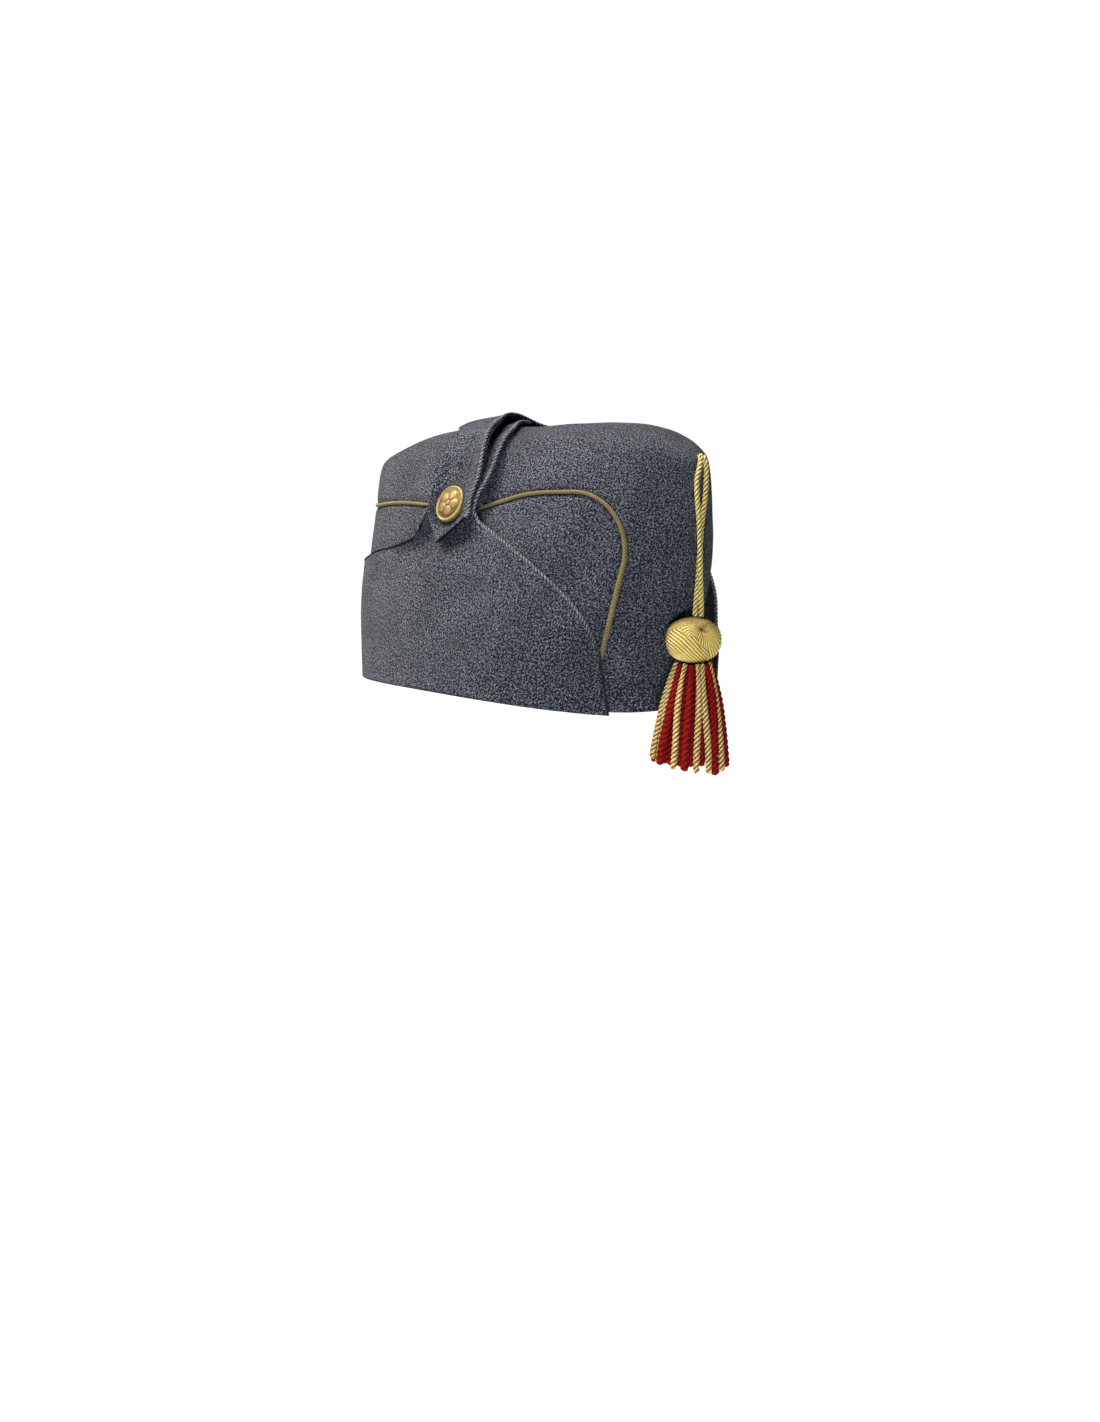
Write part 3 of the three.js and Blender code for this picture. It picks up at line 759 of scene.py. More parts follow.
def wool_material(name, dark, light, gain=1.0):
    """Speckled wool whose light yarn is darkened, as painted shade, where its mesh's shade attribute is
    higher.
    """
    if name in bpy.data.materials:
        return bpy.data.materials[name]
    material, tree, shader = start_material(name)
    bright = [min(1, channel * gain) for channel in light]
    cloth = add_node(tree, "ShaderNodeGroup", node_tree=wool_group())
    tree.links.new(weave_coordinates(tree), cloth.inputs["Weave"])
    cloth.inputs["Dark"].default_value = opaque(dark)
    # Painted shade: the attribute darkens the light yarn to a fifth, beside the curled rear edge and
    # round the button
    painted_fold_shade = add_node(tree, "ShaderNodeAttribute", attribute_name="painted_fold_shade").outputs["Fac"]
    painted_shade = [0.2 * channel for channel in bright]
    tree.links.new(mix_colour(tree, painted_fold_shade, opaque(bright), opaque(painted_shade)), cloth.inputs["Light"])
    tree.links.new(cloth.outputs["Color"], shader.inputs["Base Color"])
    set_shader(shader, Roughness=0.93, Specular_IOR_Level=0.2, Sheen_Weight=0.06, Sheen_Roughness=0.5)
    bump(tree, shader, cloth.outputs["Height"], 0.7, 0.0004)
    return material


def lay_thread(tree, shader, deep):
    """Puts twisted thread on a shader; gives the inputs for its two lighter colours."""
    rope = add_node(tree, "ShaderNodeGroup", node_tree=thread_group())
    tree.links.new(weave_coordinates(tree), rope.inputs["Weave"])
    rope.inputs["Deep"].default_value = opaque(deep)
    tree.links.new(rope.outputs["Color"], shader.inputs["Base Color"])
    bump(tree, shader, rope.outputs["Height"], 0.8, 0.0005)
    return rope.inputs


def thread_material(name, deep, thread, bright, metallic, roughness, specular):
    """Twisted thread with painted shade in its grooves and painted glints along its fibres."""
    if name in bpy.data.materials:
        return bpy.data.materials[name]
    material, tree, shader = start_material(name)
    lighter = lay_thread(tree, shader, deep)
    lighter["Thread"].default_value = opaque(thread)
    lighter["Bright"].default_value = opaque(bright)
    set_shader(shader, Metallic=metallic, Roughness=roughness, Specular_IOR_Level=specular)
    return material


def crown_wool(colours):
    return wool_material("wool_cloth", colours.wool_dark, colours.wool_light)


def lining_wool(colours):
    return wool_material("wool_lining", colours.lining, colours.lining, 1.8)


def hem_wool(colours):
    """Wool of the cut and folded edges, with its grain by the place on the cap and its light yarn
    darkened as painted shade along the hems.
    """
    name = "wool_hem"
    if name in bpy.data.materials:
        return bpy.data.materials[name]
    material, tree, shader = start_material(name)
    place = add_node(tree, "ShaderNodeTexCoord").outputs["Object"]
    grain = add_node(tree, "ShaderNodeTexNoise", {"Vector": place, "Scale": 1500.0, "Detail": 1.5})
    share = soft_range(tree, grain.outputs["Fac"], 0.46, 0.62)
    # Painted shade: the hems' light yarn is 0.38 of the cloth's
    light = [0.38 * channel for channel in colours.wool_light]
    tint = mix_colour(tree, share, opaque(colours.wool_dark), opaque(light))
    tree.links.new(tint, shader.inputs["Base Color"])
    set_shader(shader, Roughness=0.95, Specular_IOR_Level=0.1)
    bump(tree, shader, share, 0.5, 0.0004)
    return material


def edge_wool(colours):
    """Fuzzy wool of the rolled edges, with painted glints high on the cap and painted shade that darkens
    it down towards the rim.
    """
    name = "wool_edge"
    if name in bpy.data.materials:
        return bpy.data.materials[name]
    material, tree, shader = start_material(name)
    place = add_node(tree, "ShaderNodeTexCoord").outputs["Object"]
    height = add_node(tree, "ShaderNodeSeparateXYZ", {"Vector": place}).outputs["Z"]
    # Painted shade: lower on the cap the edge's thread and glints darken to an eighth
    painted_light_share = soft_range(tree, height, 0.022, 0.045)
    lighter = lay_thread(tree, shader, colours.wool_dark)
    for socket, gain in (("Thread", 0.6), ("Bright", 2.1)):
        low = [0.12 * gain * channel for channel in colours.wool_light]
        high = [gain * channel for channel in colours.wool_light]
        tree.links.new(mix_colour(tree, painted_light_share, opaque(low), opaque(high)), lighter[socket])
    set_shader(shader, Roughness=0.9, Specular_IOR_Level=0.2)
    return material


# Dark wool of the ropes that paint shadow lines along the flaps' rear edges and the tab's end
def shadow_line_wool(colours):
    deep = [0.5 * channel for channel in colours.wool_dark]
    return thread_material("wool_painted_shadow", deep, colours.wool_dark, colours.wool_dark, 0, 0.95, 0.1)


def gold_thread(colours):
    return thread_material(
        "gold_thread", colours.gold_deep, colours.gold_silk, colours.gold_bright, 0.1, 0.42, 0.6
    )


def wound_thread(colours):
    """Gold silk wound tightly, with its painted groove shade four times lighter."""
    groove = [4 * channel for channel in colours.gold_deep]
    return thread_material(
        "wound_thread", groove, colours.gold_silk, colours.gold_bright, 0.1, 0.42, 0.6
    )


def red_thread(colours):
    return thread_material(
        "red_thread", colours.red_deep, colours.red_silk, colours.red_bright, 0, 0.8, 0.15
    )


def strand_thread(colours):
    return thread_material(
        "strand_thread", colours.strand_deep, colours.strand_gold, colours.strand_bright, 0.1, 0.5, 0.5
    )


def piping_thread(colours):
    return thread_material(
        "piping_thread", colours.piping_deep, colours.piping_gold, colours.piping_bright, 0.1, 0.6, 0.4
    )


def gilt_metal(colours):
    """Worn gilt, tarnished in the hollows of its relief."""
    material, tree, shader = start_material("gilt_metal")
    patina = flat_noise(tree, weave_coordinates(tree), 9, 3.0, 0.6)
    relief = add_node(tree, "ShaderNodeAttribute", attribute_name="relief").outputs["Fac"]
    hollow = soft_range(tree, relief, 0.2, 0.02, 0.0, 0.7)
    share = maths(tree, "MAXIMUM", soft_range(tree, patina, 0.4, 0.75, 0.0, 0.3), hollow)
    tint = mix_colour(tree, share, opaque(colours.button_gold), opaque(colours.button_tarnish))
    tree.links.new(tint, shader.inputs["Base Color"])
    rough = soft_range(tree, patina, 0.3, 0.7, 0.58, 0.7)
    tree.links.new(rough, shader.inputs["Roughness"])
    set_shader(shader, Metallic=1.0)
    return material


def floor_material(colours):
    """Pale floor that shows white to the camera, as paper lit from below."""
    material, tree, shader = start_material("pale_floor")
    set_shader(shader, Base_Color=opaque(colours.floor), Roughness=0.9, Specular_IOR_Level=0.1)
    shader.inputs["Emission Color"].default_value = (1, 1, 1, 1)
    seen = add_node(tree, "ShaderNodeLightPath").outputs["Is Camera Ray"]
    tree.links.new(seen, shader.inputs["Emission Strength"])
    return material


# Stage


def add_light(name, place, energy, size, tint):
    """A soft round light that points at the cap."""
    lamp = bpy.data.lights.new(name, "AREA")
    lamp.shape = "DISK"
    lamp.size = size
    lamp.energy = energy
    lamp.color = tint
    light = bpy.data.objects.new(name, lamp)
    light.location = place
    light.rotation_euler = (Vector(LIGHT_AIM) - Vector(place)).to_track_quat("-Z", "Y").to_euler()
    bpy.context.scene.collection.objects.link(light)


class CAP_OT_stage(bpy.types.Operator):
    """Set the camera, the soft lights and the pale floor"""

    bl_idname = "cap.stage"
    bl_label = "Stage"

    def execute(self, context):
        scene = context.scene
        lens = bpy.data.cameras.new("camera")
        lens.sensor_fit = "VERTICAL"
        lens.sensor_height = CAMERA_FILM
        lens.lens = CAMERA_LENS
        camera = bpy.data.objects.new("camera", lens)
        camera.location = CAMERA_PLACE
        camera.rotation_euler = Vector(CAMERA_AIM).to_track_quat("-Z", "Y").to_euler()
        scene.collection.objects.link(camera)
        scene.camera = camera

        mesh = bmesh.new()
        bmesh.ops.create_circle(mesh, cap_ends=True, segments=96, radius=FLOOR_RADIUS)
        for vert in mesh.verts:
            vert.co.z = -scene.cap_sizes.floor_drop
        data = bpy.data.meshes.new("floor")
        mesh.to_mesh(data)
        mesh.free()
        data.materials.append(floor_material(scene.cap_colours))
        floor = bpy.data.objects.new("floor", data)
        scene.collection.objects.link(floor)

        for light in LIGHTS:
            add_light(*light)

        world = bpy.data.worlds.new("studio")
        world.use_nodes = True
        scene.world = world
        tree = world.node_tree
        sky = tree.nodes["Background"]
        sky.inputs["Color"].default_value = (1, 1, 1, 1)
        seen = add_node(tree, "ShaderNodeLightPath").outputs["Is Camera Ray"]
        tree.links.new(maths(tree, "MULTIPLY_ADD", seen, 1 - SKY_GLOW, SKY_GLOW), sky.inputs["Strength"])
        scene.view_settings.view_transform = "Standard"
        return {"FINISHED"}


# Tassel cords


def cord_leg(side):
    """Middle line of a leg of the cord, and where it leaves the cap."""
    forward, right, height, spread, turn = np.array(CORD_ROUTE, dtype=float).T
    angle = np.radians(turn)
    points = in_cap(
        forward + side * spread * np.sin(angle), right + side * spread * np.cos(angle), height
    )
    return along_path(points, CORD_SPACING), points[CORD_EXIT]


class CAP_OT_tassel_cords(bpy.types.Operator):
    """Make the two twisted legs of the tassel cord"""

    bl_idname = "cap.tassel_cords"
    bl_label = "Tassel Cords"

    def execute(self, context):
        sizes = context.scene.cap_sizes
        for side, name in CORD_LEGS:
            path = cord_leg(side)[0]
            mesh, uv = new_mesh()
            radius = sizes.cord / MM / 2
            add_rope(mesh, uv, path, radius, CORD_PITCH, ring=24, depth=0.5, start=0.8 * side)
            close_up(mesh)
            piece = put_in_scene(mesh, "rope_" + name, [gold_thread(context.scene.cap_colours)])
            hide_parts(name)
        return {"FINISHED"}


# Crown


def seam_spots(room):
    """Spots along the seam from the front corner to the back, moved off it by some millimetres."""
    clear_up = room / (RIDGE[2][1] * 1.1)
    clear_around = math.degrees(room / SECTIONS[2][3]) * 1.2
    bend = np.linspace(0, math.pi / 2, CORNER_STEPS + 1)
    corner = SEAM_CORNER[0] - (SEAM_CORNER[0] - SEAM_FRONT - clear_around) * np.cos(bend)
    corner_up = SEAM_CORNER[1] + (SEAM_RUN[0][1] - SEAM_CORNER[1] - clear_up) * np.sin(bend)
    run = np.linspace(SEAM_CORNER[0], 180, RUN_STEPS + 1)[1:]
    run_up = seam_at(run)[:, 0] - clear_up
    return np.concatenate([corner, run]), np.concatenate([corner_up, run_up])


def seam_line():
    """Points along the right seam, from the rim at the front to the back."""
    spots, spots_up = seam_spots(0)
    around = np.concatenate([np.full(FRONT_SEAM_STEPS, SEAM_FRONT), spots])
    up = np.concatenate([np.linspace(0, SEAM_CORNER[1], FRONT_SEAM_STEPS + 1)[:-1], spots_up])
    return up, around


def seam_dip(points):
    """How far the cloth turns in beside the piping."""
    line = along_path(crown_point(*seam_line()), 0.8)
    right = np.where(points[..., :1] > 0, points * (-1, 1, 1), points)
    rows = [np.linalg.norm(row[:, None] - line[None], axis=-1).min(axis=1) for row in right]
    return -SEAM_DIP * np.exp(-(np.array(rows) / SEAM_DIP_WIDTH) ** 2)


def wall_share(up, around, cloth):
    """Share of the cloth's thickness, less where the two sides come together at the ends."""
    room = np.abs(crown_point(up, around)[..., 0])
    slope = np.abs(crown_normal(up, around)[..., 0])
    tight = (room < cloth) & (slope > 0.3)
    return np.where(tight, np.minimum(1, 0.8 * room / np.maximum(slope, 0.3) / cloth), 1)


def crown_block(mesh, uv, sizes, around, low, high, rows, left=False):
    """Adds a block of the crown's wall between two heights, on the wearer's right or left."""
    share = np.linspace(0, 1, rows + 1)[None, :]
    up = low[:, None] * (1 - share) + high[:, None] * share
    turn = np.broadcast_to(around[:, None], up.shape) * (-1 if left else 1)
    points = crown_point(up, turn)
    out = crown_normal(up, turn)
    lift = unevenness(points, sizes.ripple / MM) + seam_dip(points)
    points = points + out * lift[..., None]
    weave = weave_place(up, turn) + (CROWN_LEFT_WEAVE if left else CROWN_RIGHT_WEAVE)
    places = lay_grid(mesh, uv, points, weave, flip=not left)
    depth = wall_share(up, turn, sizes.crown_cloth / MM)
    layer = mesh.verts.layers.deform.verify()
    for vert, place in places.items():
        vert[layer][0] = float(depth[place])


def finish_crown(mesh, node, sizes, colours):
    """Makes a panel of the crown from its outer face, with a dark inside."""
    join_seams(mesh)
    piece = put_in_scene(mesh, "wool_" + node, [crown_wool(colours), lining_wool(colours)])
    piece.vertex_groups.new(name="wall")
    thicken(piece, sizes.crown_cloth, "wall", 1, 0, sharp=1.0)
    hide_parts(node)


class CAP_OT_crown(bpy.types.Operator):
    """Make the wool panels of the crown"""

    bl_idname = "cap.crown"
    bl_label = "Crown"

    def execute(self, context):
        sizes = context.scene.cap_sizes
        colours = context.scene.cap_colours
        around, up = seam_spots(SEAM_HALF_WIDTH)
        for left, node in ((False, "crown_side_right"), (True, "crown_side_left")):
            mesh, uv = new_mesh()
            crown_block(mesh, uv, sizes, around, np.zeros_like(up), up, WALL_STEPS, left)
            finish_crown(mesh, node, sizes, colours)

        around, up = seam_spots(-SEAM_HALF_WIDTH)
        front = np.linspace(0, around[0], FRONT_STEPS + 1)
        rim = np.zeros_like(front)
        corner = np.full_like(front, SEAM_CORNER[1])
        mesh, uv = new_mesh()
        for left in (False, True):
            crown_block(mesh, uv, sizes, front, rim, corner, FRONT_WALL_STEPS, left)
            crown_block(mesh, uv, sizes, front, corner, np.ones_like(front), TOP_STEPS, left)
            crown_block(mesh, uv, sizes, around, up, np.ones_like(up), TOP_STEPS, left)
        finish_crown(mesh, "crown_top", sizes, colours)
        return {"FINISHED"}


class CAP_OT_piping(bpy.types.Operator):
    """Make the gold piping in the crown's seams"""

    bl_idname = "cap.piping"
    bl_label = "Piping"

    def execute(self, context):
        sizes = context.scene.cap_sizes
        up, around = seam_line()
        for left, node in ((False, "piping_right"), (True, "piping_left")):
            turn = around * (-1 if left else 1)
            points = crown_point(up, turn)
            lift = unevenness(points, sizes.ripple / MM) - PIPING_SINK
            path = along_path(points + crown_normal(up, turn) * lift[:, None], ROPE_SPACING)
            ways = arc_lengths(path)
            side = smooth(ways, *PIPING_THINS)
            radius = (sizes.piping_front * (1 - side) + sizes.piping_side * side) / MM / 2
            mesh, uv = new_mesh()
            pitch = -PIPING_PITCH if left else PIPING_PITCH
            add_rope(mesh, uv, path, radius, pitch, lobes=4, ring=16, depth=0.45)
            close_up(mesh)
            piece = put_in_scene(mesh, "rope_" + node, [piping_thread(context.scene.cap_colours)])
            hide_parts(node)
        return {"FINISHED"}


# Flaps


def flap_lift(up, around):
    """Room under a flap: close at the rim, open at the front edge over the piping."""
    return FLAP_GAP - (FLAP_GAP - RIM_GAP) * (1 - smooth(up, 0, 0.1)) * smooth(around, 50, 65)


def bulge(up, around, spot):
    """A soft bump round a spot."""
    middle_around, middle_up, span_around, span_up = spot
    return np.exp(-(((up - middle_up) / span_up) ** 2) - ((around - middle_around) / span_around) ** 2)


def rear_fold(up, around):
    """Lift where the right flap's rear edge curls up beside the tab."""
    line_around, line_up, height, width = spline(REAR_FOLD)(np.linspace(0, 1, 80)).T
    across = (np.asarray(around)[..., None] - line_around) * math.radians(SECTIONS[3][1])
    along = (np.asarray(up)[..., None] - line_up) * RIDGE[2][1]
    away = np.hypot(across, along)
    nearest = away.argmin(axis=-1)
    return height[nearest] * np.clip(1 - away.min(axis=-1) / width[nearest], 0, 1)


def right_flap_lift(up, around):
    """Room under the right flap, which stands off in front and curls up beside the tab."""
    top_edge = rise_and_fall(around, *REAR_TOP_SPAN) * smooth(up, 0.36, 0.43)
    swell = bulge(up, around, SWELL_SPOT)
    lift = rear_fold(up, around) + REAR_TOP_LIFT * top_edge + FLAP_SWELL * swell
    return flap_lift(up, around) + lift + STAND_OFF * bulge(up, around, STAND_OFF_SPOT)


def left_flap_lift(up, around):
    """Room under the left flap, whose front stands off and whose strap lies over the right tongue."""
    stand = LEFT_FRONT_LIFT * (1 - smooth(around, 62, 92)) * (1.15 - 0.15 * smooth(up, 0, 0.25))
    over = STRAP_LIFT * smooth(up, 0.88, 0.98) + TAB_STAND_OFF * bulge(2 - up, around, STAND_OFF_SPOT)
    return flap_lift(up, around) + stand + over


def across_tongue():
    """Shares of the way from a tongue's front edge to its rear edge, closer together at both."""
    even = np.linspace(0, 1, TONGUE_STEPS + 1)[:, None]
    return 0.35 * even + 0.65 * (1 - np.cos(math.pi * even)) / 2


def tongue_spots(rows, lift_at, left):
    """Up, around and lift across a tongue, for rows of up, edges, curl, tuck and skew."""
    share = across_tongue()
    row_up, front, rear, curl, tuck, skew = rows.T[:, None, :]
    up = row_up + skew * share
    around = around_at(up, front * (1 - share) + rear * share)
    lift = lift_at(up, around) + curl * (1 - share) ** 3 - tuck * share ** 4
    if left:
        lift = lift + TAB_LIFT * smooth(row_up, 1.412, 1.437)
        beside = rise_and_fall(row_up, *TAB_REAR_SPAN)
        lift = lift + TAB_REAR_LIFT * smooth(share, 0.76, 0.98) * beside
        middle = np.exp(-(((share - 0.45) / 0.2) ** 2))
        lift = lift - BUTTON_PULL * middle * rise_and_fall(row_up, *BUTTON_PULL_SPAN)
        lift = lift + STRAP_CURL * (1 - share) ** 4 * rise_and_fall(row_up, *STRAP_CURL_SPAN)
    else:
        lift = lift - TONGUE_TUCK * smooth(share, 0.06, 0.3) * smooth(row_up, 0.66, 0.74)
        lift = lift + TONGUE_CURL * (1 - share) ** 4 * rise_and_fall(row_up, *TONGUE_CURL_SPAN)
    return up, around, lift


def thin_edge(up, around, cloth):
    """Share of the full hem depth over a flap's body, less at its thin rear top edge."""
    edge = smooth(around, 103, 106) * smooth(up, 0.405, 0.435)
    return (1 - 0.65 * edge) * cloth / HEM_DEPTH


def hem_share(up, lift, cloth, left):
    """Share of the full hem depth at each place of a tongue, deep at its folded front edge."""
    share = across_tongue()
    plain = cloth / HEM_DEPTH
    if left:
        floor = STRAP_FLOOR
        deepest = STRAP_HEM_SHARE
        folded = rise_and_fall(up, *STRAP_HEM_SPAN) * (1 - smooth(share, 0.03, 0.1))
    else:
        floor = TONGUE_FLOOR
        deepest = 1
        folded = 1 - smooth(share, 0.1, 0.2)
    full = np.clip((lift + cloth - floor) / HEM_DEPTH, plain, deepest)
    return plain + (full - plain) * folded


def flap_edge(base_around, base_up, left):
    """The flap's upper edge from its front corner to the back seam."""
    shoulder = LEFT_SHOULDER if left else FLAP_SHOULDER
    start = LEFT_REAR_START if left else FLAP_REAR_EDGE[0][0]
    front = np.linspace(FLAP_FRONT_EDGE[0][0], FLAP_FRONT_EDGE[-1][0], FLAP_FRONT_STEPS + 1)
    rear = np.linspace(start, 180 + FLAP_BACK_REACH, FLAP_REAR_STEPS + 1)
    front_edge = np.column_stack([front, spline(FLAP_FRONT_EDGE)(front)[:, 0]])
    rear_edge = np.column_stack([rear, spline(FLAP_REAR_EDGE)(rear)[:, 0]])
    base = np.column_stack([base_around, base_up])
    share = np.linspace(0, 1, EDGE_STEPS + 1)[1:-1, None]

    def between(first, second):
        return np.asarray(first) * (1 - share) + np.asarray(second) * share

    return np.concatenate([
        front_edge, between(front_edge[-1], base[0]), base, between(base[-1], shoulder),
        [shoulder], between(shoulder, rear_edge[0]), rear_edge,
    ])


def flap_body(edge, lift_at):
    """Up, around and lift of the part of a flap below its tongue."""
    start = FLAP_FRONT_EDGE[0][0]
    end = FLAP_FRONT_EDGE[-1][0]
    share = np.linspace(0, 1, FLAP_WALL_STEPS + 1)[None, :]
    slant = (start - FLAP_FRONT_AT_RIM) * np.maximum(0, 1 - (edge[:, 0] - start) / (end - start)) ** 2
    up = FLAP_RIM_UP * (1 - share) + edge[:, 1:] * share
    around = edge[:, :1] - slant[:, None] * (1 - share)
    return up, around, lift_at(up, around)


def puckers(points):
    """Small pulls of the cloth above the button."""
    middle = crown_point(np.array(BUTTON_UP), np.array(BUTTON_AROUND))
    above = points[..., 2] - middle[2]
    aside = middle[1] - points[..., 1]
    near = rise_and_fall(above, *PUCKER_SPAN)
    pulls = np.exp(-((aside - 3.6) / 2.0) ** 2) + 0.8 * np.exp(-((aside + 2.6) / 2.2) ** 2)
    return -PUCKER_DEPTH * near * pulls * (points[..., 0] < 0)


def button_shade(points):
    """Painted shade on the wool round the button, where it is pressed in; wider on its rear side."""
    middle = crown_point(np.array(BUTTON_UP), np.array(BUTTON_AROUND))
    behind = points[..., 1] - middle[1]
    out = np.hypot(points[..., 2] - middle[2], np.where(behind > 0, 0.7 * behind, behind))
    return 0.75 * (1 - smooth(out, 9.5, 13)) * (points[..., 0] < 0)


def add_flap(sizes, tongue, rows, lift_at, left):
    """A flap's mesh with the line of its rolled front edge and the lines of the dark ropes that paint
    shadow along its rear edge and, on the left flap, the tab's end.
    """
    cloth = sizes.flap_cloth / MM
    table = np.array(tongue, dtype=float)
    heights = np.linspace(table[0, 0], table[-1, 0], rows + 1)
    tongue_rows = np.column_stack([heights, spline(tongue)(heights)])
    strip = tongue_spots(tongue_rows, lift_at, left)
    body = flap_body(flap_edge(strip[1][:, 0], strip[0][:, 0], left), lift_at)
    mesh, uv = new_mesh()
    edges = []
    layer = mesh.verts.layers.deform.verify()
    painted_fold_shades = mesh.verts.layers.float.new("painted_fold_shade")
    for up, around, lift in (body, strip):
        turn = LEFT_FORWARD * (1 - smooth(around, *LEFT_FORWARD_SPAN)) - around if left else around
        points = crown_point(up, turn)
        lift = lift + unevenness(points, sizes.ripple / MM)
        if left:
            # painted shade round the button and in the puckers above it
            painted_fold_shade = np.maximum(button_shade(points), -0.3 * puckers(points))
            lift = lift + puckers(points)
        else:
            # painted shade over the right flap's curled rear edge beside the tab
            painted_fold_shade = np.clip(rear_fold(up, around) / FOLD_SHADE_LIFT, 0, 1)
        out = crown_normal(up, turn)
        weave = weave_place(up, turn) + (FLAP_LEFT_WEAVE if left else FLAP_RIGHT_WEAVE)
        places = lay_grid(mesh, uv, points + out * (lift + cloth)[..., None], weave, flip=not left)
        depth = hem_share(up, lift, cloth, left) if up is strip[0] else thin_edge(up, around, cloth)
        for vert, place in places.items():
            vert[layer][0] = float(depth[place])
            vert[painted_fold_shades] = float(painted_fold_shade[place])
        edges.append(points + out * (lift + 0.7 * cloth)[..., None])
    front = edges[0]
    line = [front[0], front[1:FLAP_FRONT_STEPS + EDGE_STEPS, -1], edges[1][0]]
    rear = [edges[1][-1][REAR_ROPE_ROWS:0:-1], front[-FLAP_REAR_STEPS - 2 * EDGE_STEPS - 1:, -1]]
    dark = [np.concatenate(rear)]
    if left:
        dark.append(edges[1][:, -1])
    return mesh, uv, np.concatenate(line), dark


class CAP_OT_flaps(bpy.types.Operator):
    """Make the turned-up ear flaps with their tongues and rolled edges"""

    bl_idname = "cap.flaps"
    bl_label = "Ear Flaps"

    def execute(self, context):
        sizes = context.scene.cap_sizes
        colours = context.scene.cap_colours
        flaps = (
            ("flap_right", TONGUE, TONGUE_ROWS, right_flap_lift, False, RIGHT_FLAT, RIGHT_AREA),
            ("flap_left", STRAP, STRAP_ROWS, left_flap_lift, True, LEFT_FLAT, LEFT_AREA),
        )
        for node, tongue, rows, lift_at, left, flat, area in flaps:
            mesh, uv, line, dark = add_flap(sizes, tongue, rows, lift_at, left)
            join_seams(mesh)
            piece = put_in_scene(mesh, "wool_" + node, [crown_wool(colours), hem_wool(colours)])
            piece.vertex_groups.new(name="hem")
            thicken(piece, HEM_DEPTH * MM, "hem", 0, 1)
            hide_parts(node)

            mesh, uv = new_mesh()
            path = along_path(line, ROPE_SPACING)
            radius = sizes.edge_rope / MM / 2
            add_rope(mesh, uv, path, radius, EDGE_PITCH, lobes=2, ring=12, depth=0.42)
            # Dark ropes that paint the shadow lines along the rear edge and the tab's end
            for row in dark:
                path = along_path(row, DARK_EDGE_SPACING)
                add_rope(
                    mesh, uv, path, DARK_EDGE_RADIUS, DARK_EDGE_PITCH, lobes=2, ring=8, depth=0.3, slot=1
                )
            close_up(mesh)
            edge = put_in_scene(mesh, "edge_" + node, [edge_wool(colours), shadow_line_wool(colours)])
        return {"FINISHED"}


# Button


def button_relief(out, turn):
    """Height of the rosette and the rope rim over the button's face."""
    petals = np.abs(np.cos(2.5 * turn)) ** 0.7
    reach = smooth(out, 0.14, 0.3) * (1 - smooth(out / (0.45 + 0.3 * petals), 0.8, 1.05))
    vein = 1 - 0.5 * np.exp(-(np.sin(2.5 * turn + math.pi / 2) / 0.12) ** 2)
    heart = 1 - smooth(out, 0.1, 0.15)
    rope = 0.5 + 0.5 * np.cos(48 * turn + 14 * out)
    edge = np.exp(-((out - 0.85) / 0.03) ** 2)
    return 0.38 * reach * petals * vein + 0.45 * heart + 0.22 * rope * edge


class CAP_OT_button(bpy.types.Operator):
    """Make the gilt button with a plain rosette"""

    bl_idname = "cap.button"
    bl_label = "Button"

    def execute(self, context):
        rows = [(out * BUTTON_RADIUS, up, 0) for out, up in BUTTON_PROFILE]
        profile = along_path(np.array(rows), BUTTON_SPACING)
        turn = np.linspace(0, 2 * math.pi, BUTTON_RING + 1)[:, None]
        out = profile[None, :, 0]
        facing = smooth(profile[:, 1], 2.2, 2.5)[None, :]
        relief = button_relief(out / BUTTON_RADIUS, turn)
        height = profile[None, :, 1] + facing * relief
        raised = np.where(facing * (out < BUTTON_FACE * BUTTON_RADIUS) > 0.5, relief, 1.0)
        normal = crown_normal(np.array(BUTTON_UP), np.array(BUTTON_AROUND))
        middle = crown_point(np.array(BUTTON_UP), np.array(BUTTON_AROUND)) + normal * BUTTON_SEAT
        side = unit(np.cross((0.0, 0.0, 1.0), normal))
        above = np.cross(normal, side)
        across = side * np.cos(turn)[..., None] + above * np.sin(turn)[..., None]
        points = middle + across * out[..., None] + normal * height[..., None]
        face = [0.5 + out * wave(turn) / BUTTON_WEAVE for wave in (np.cos, np.sin)]
        weave = np.stack(np.broadcast_arrays(*face), axis=-1)
        mesh, uv = new_mesh()
        layer = mesh.verts.layers.float.new("relief")
        for vert, place in lay_grid(mesh, uv, points, weave).items():
            vert[layer] = float(raised[place])
        close_up(mesh)
        piece = put_in_scene(mesh, "gilt_button", [gilt_metal(context.scene.cap_colours)])
        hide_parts("button")
        return {"FINISHED"}


# Tassel


def hang_on_cords():
    for side, name in CORD_LEGS:
        path, leaves = cord_leg(side)


def round_rib(phase):
    """Height of a wound thread across its width, from 0 in the groove to 1 on the crest."""
    off = 2 * (phase % 1) - 1
    return np.sqrt(1 - 0.98 * off * off)


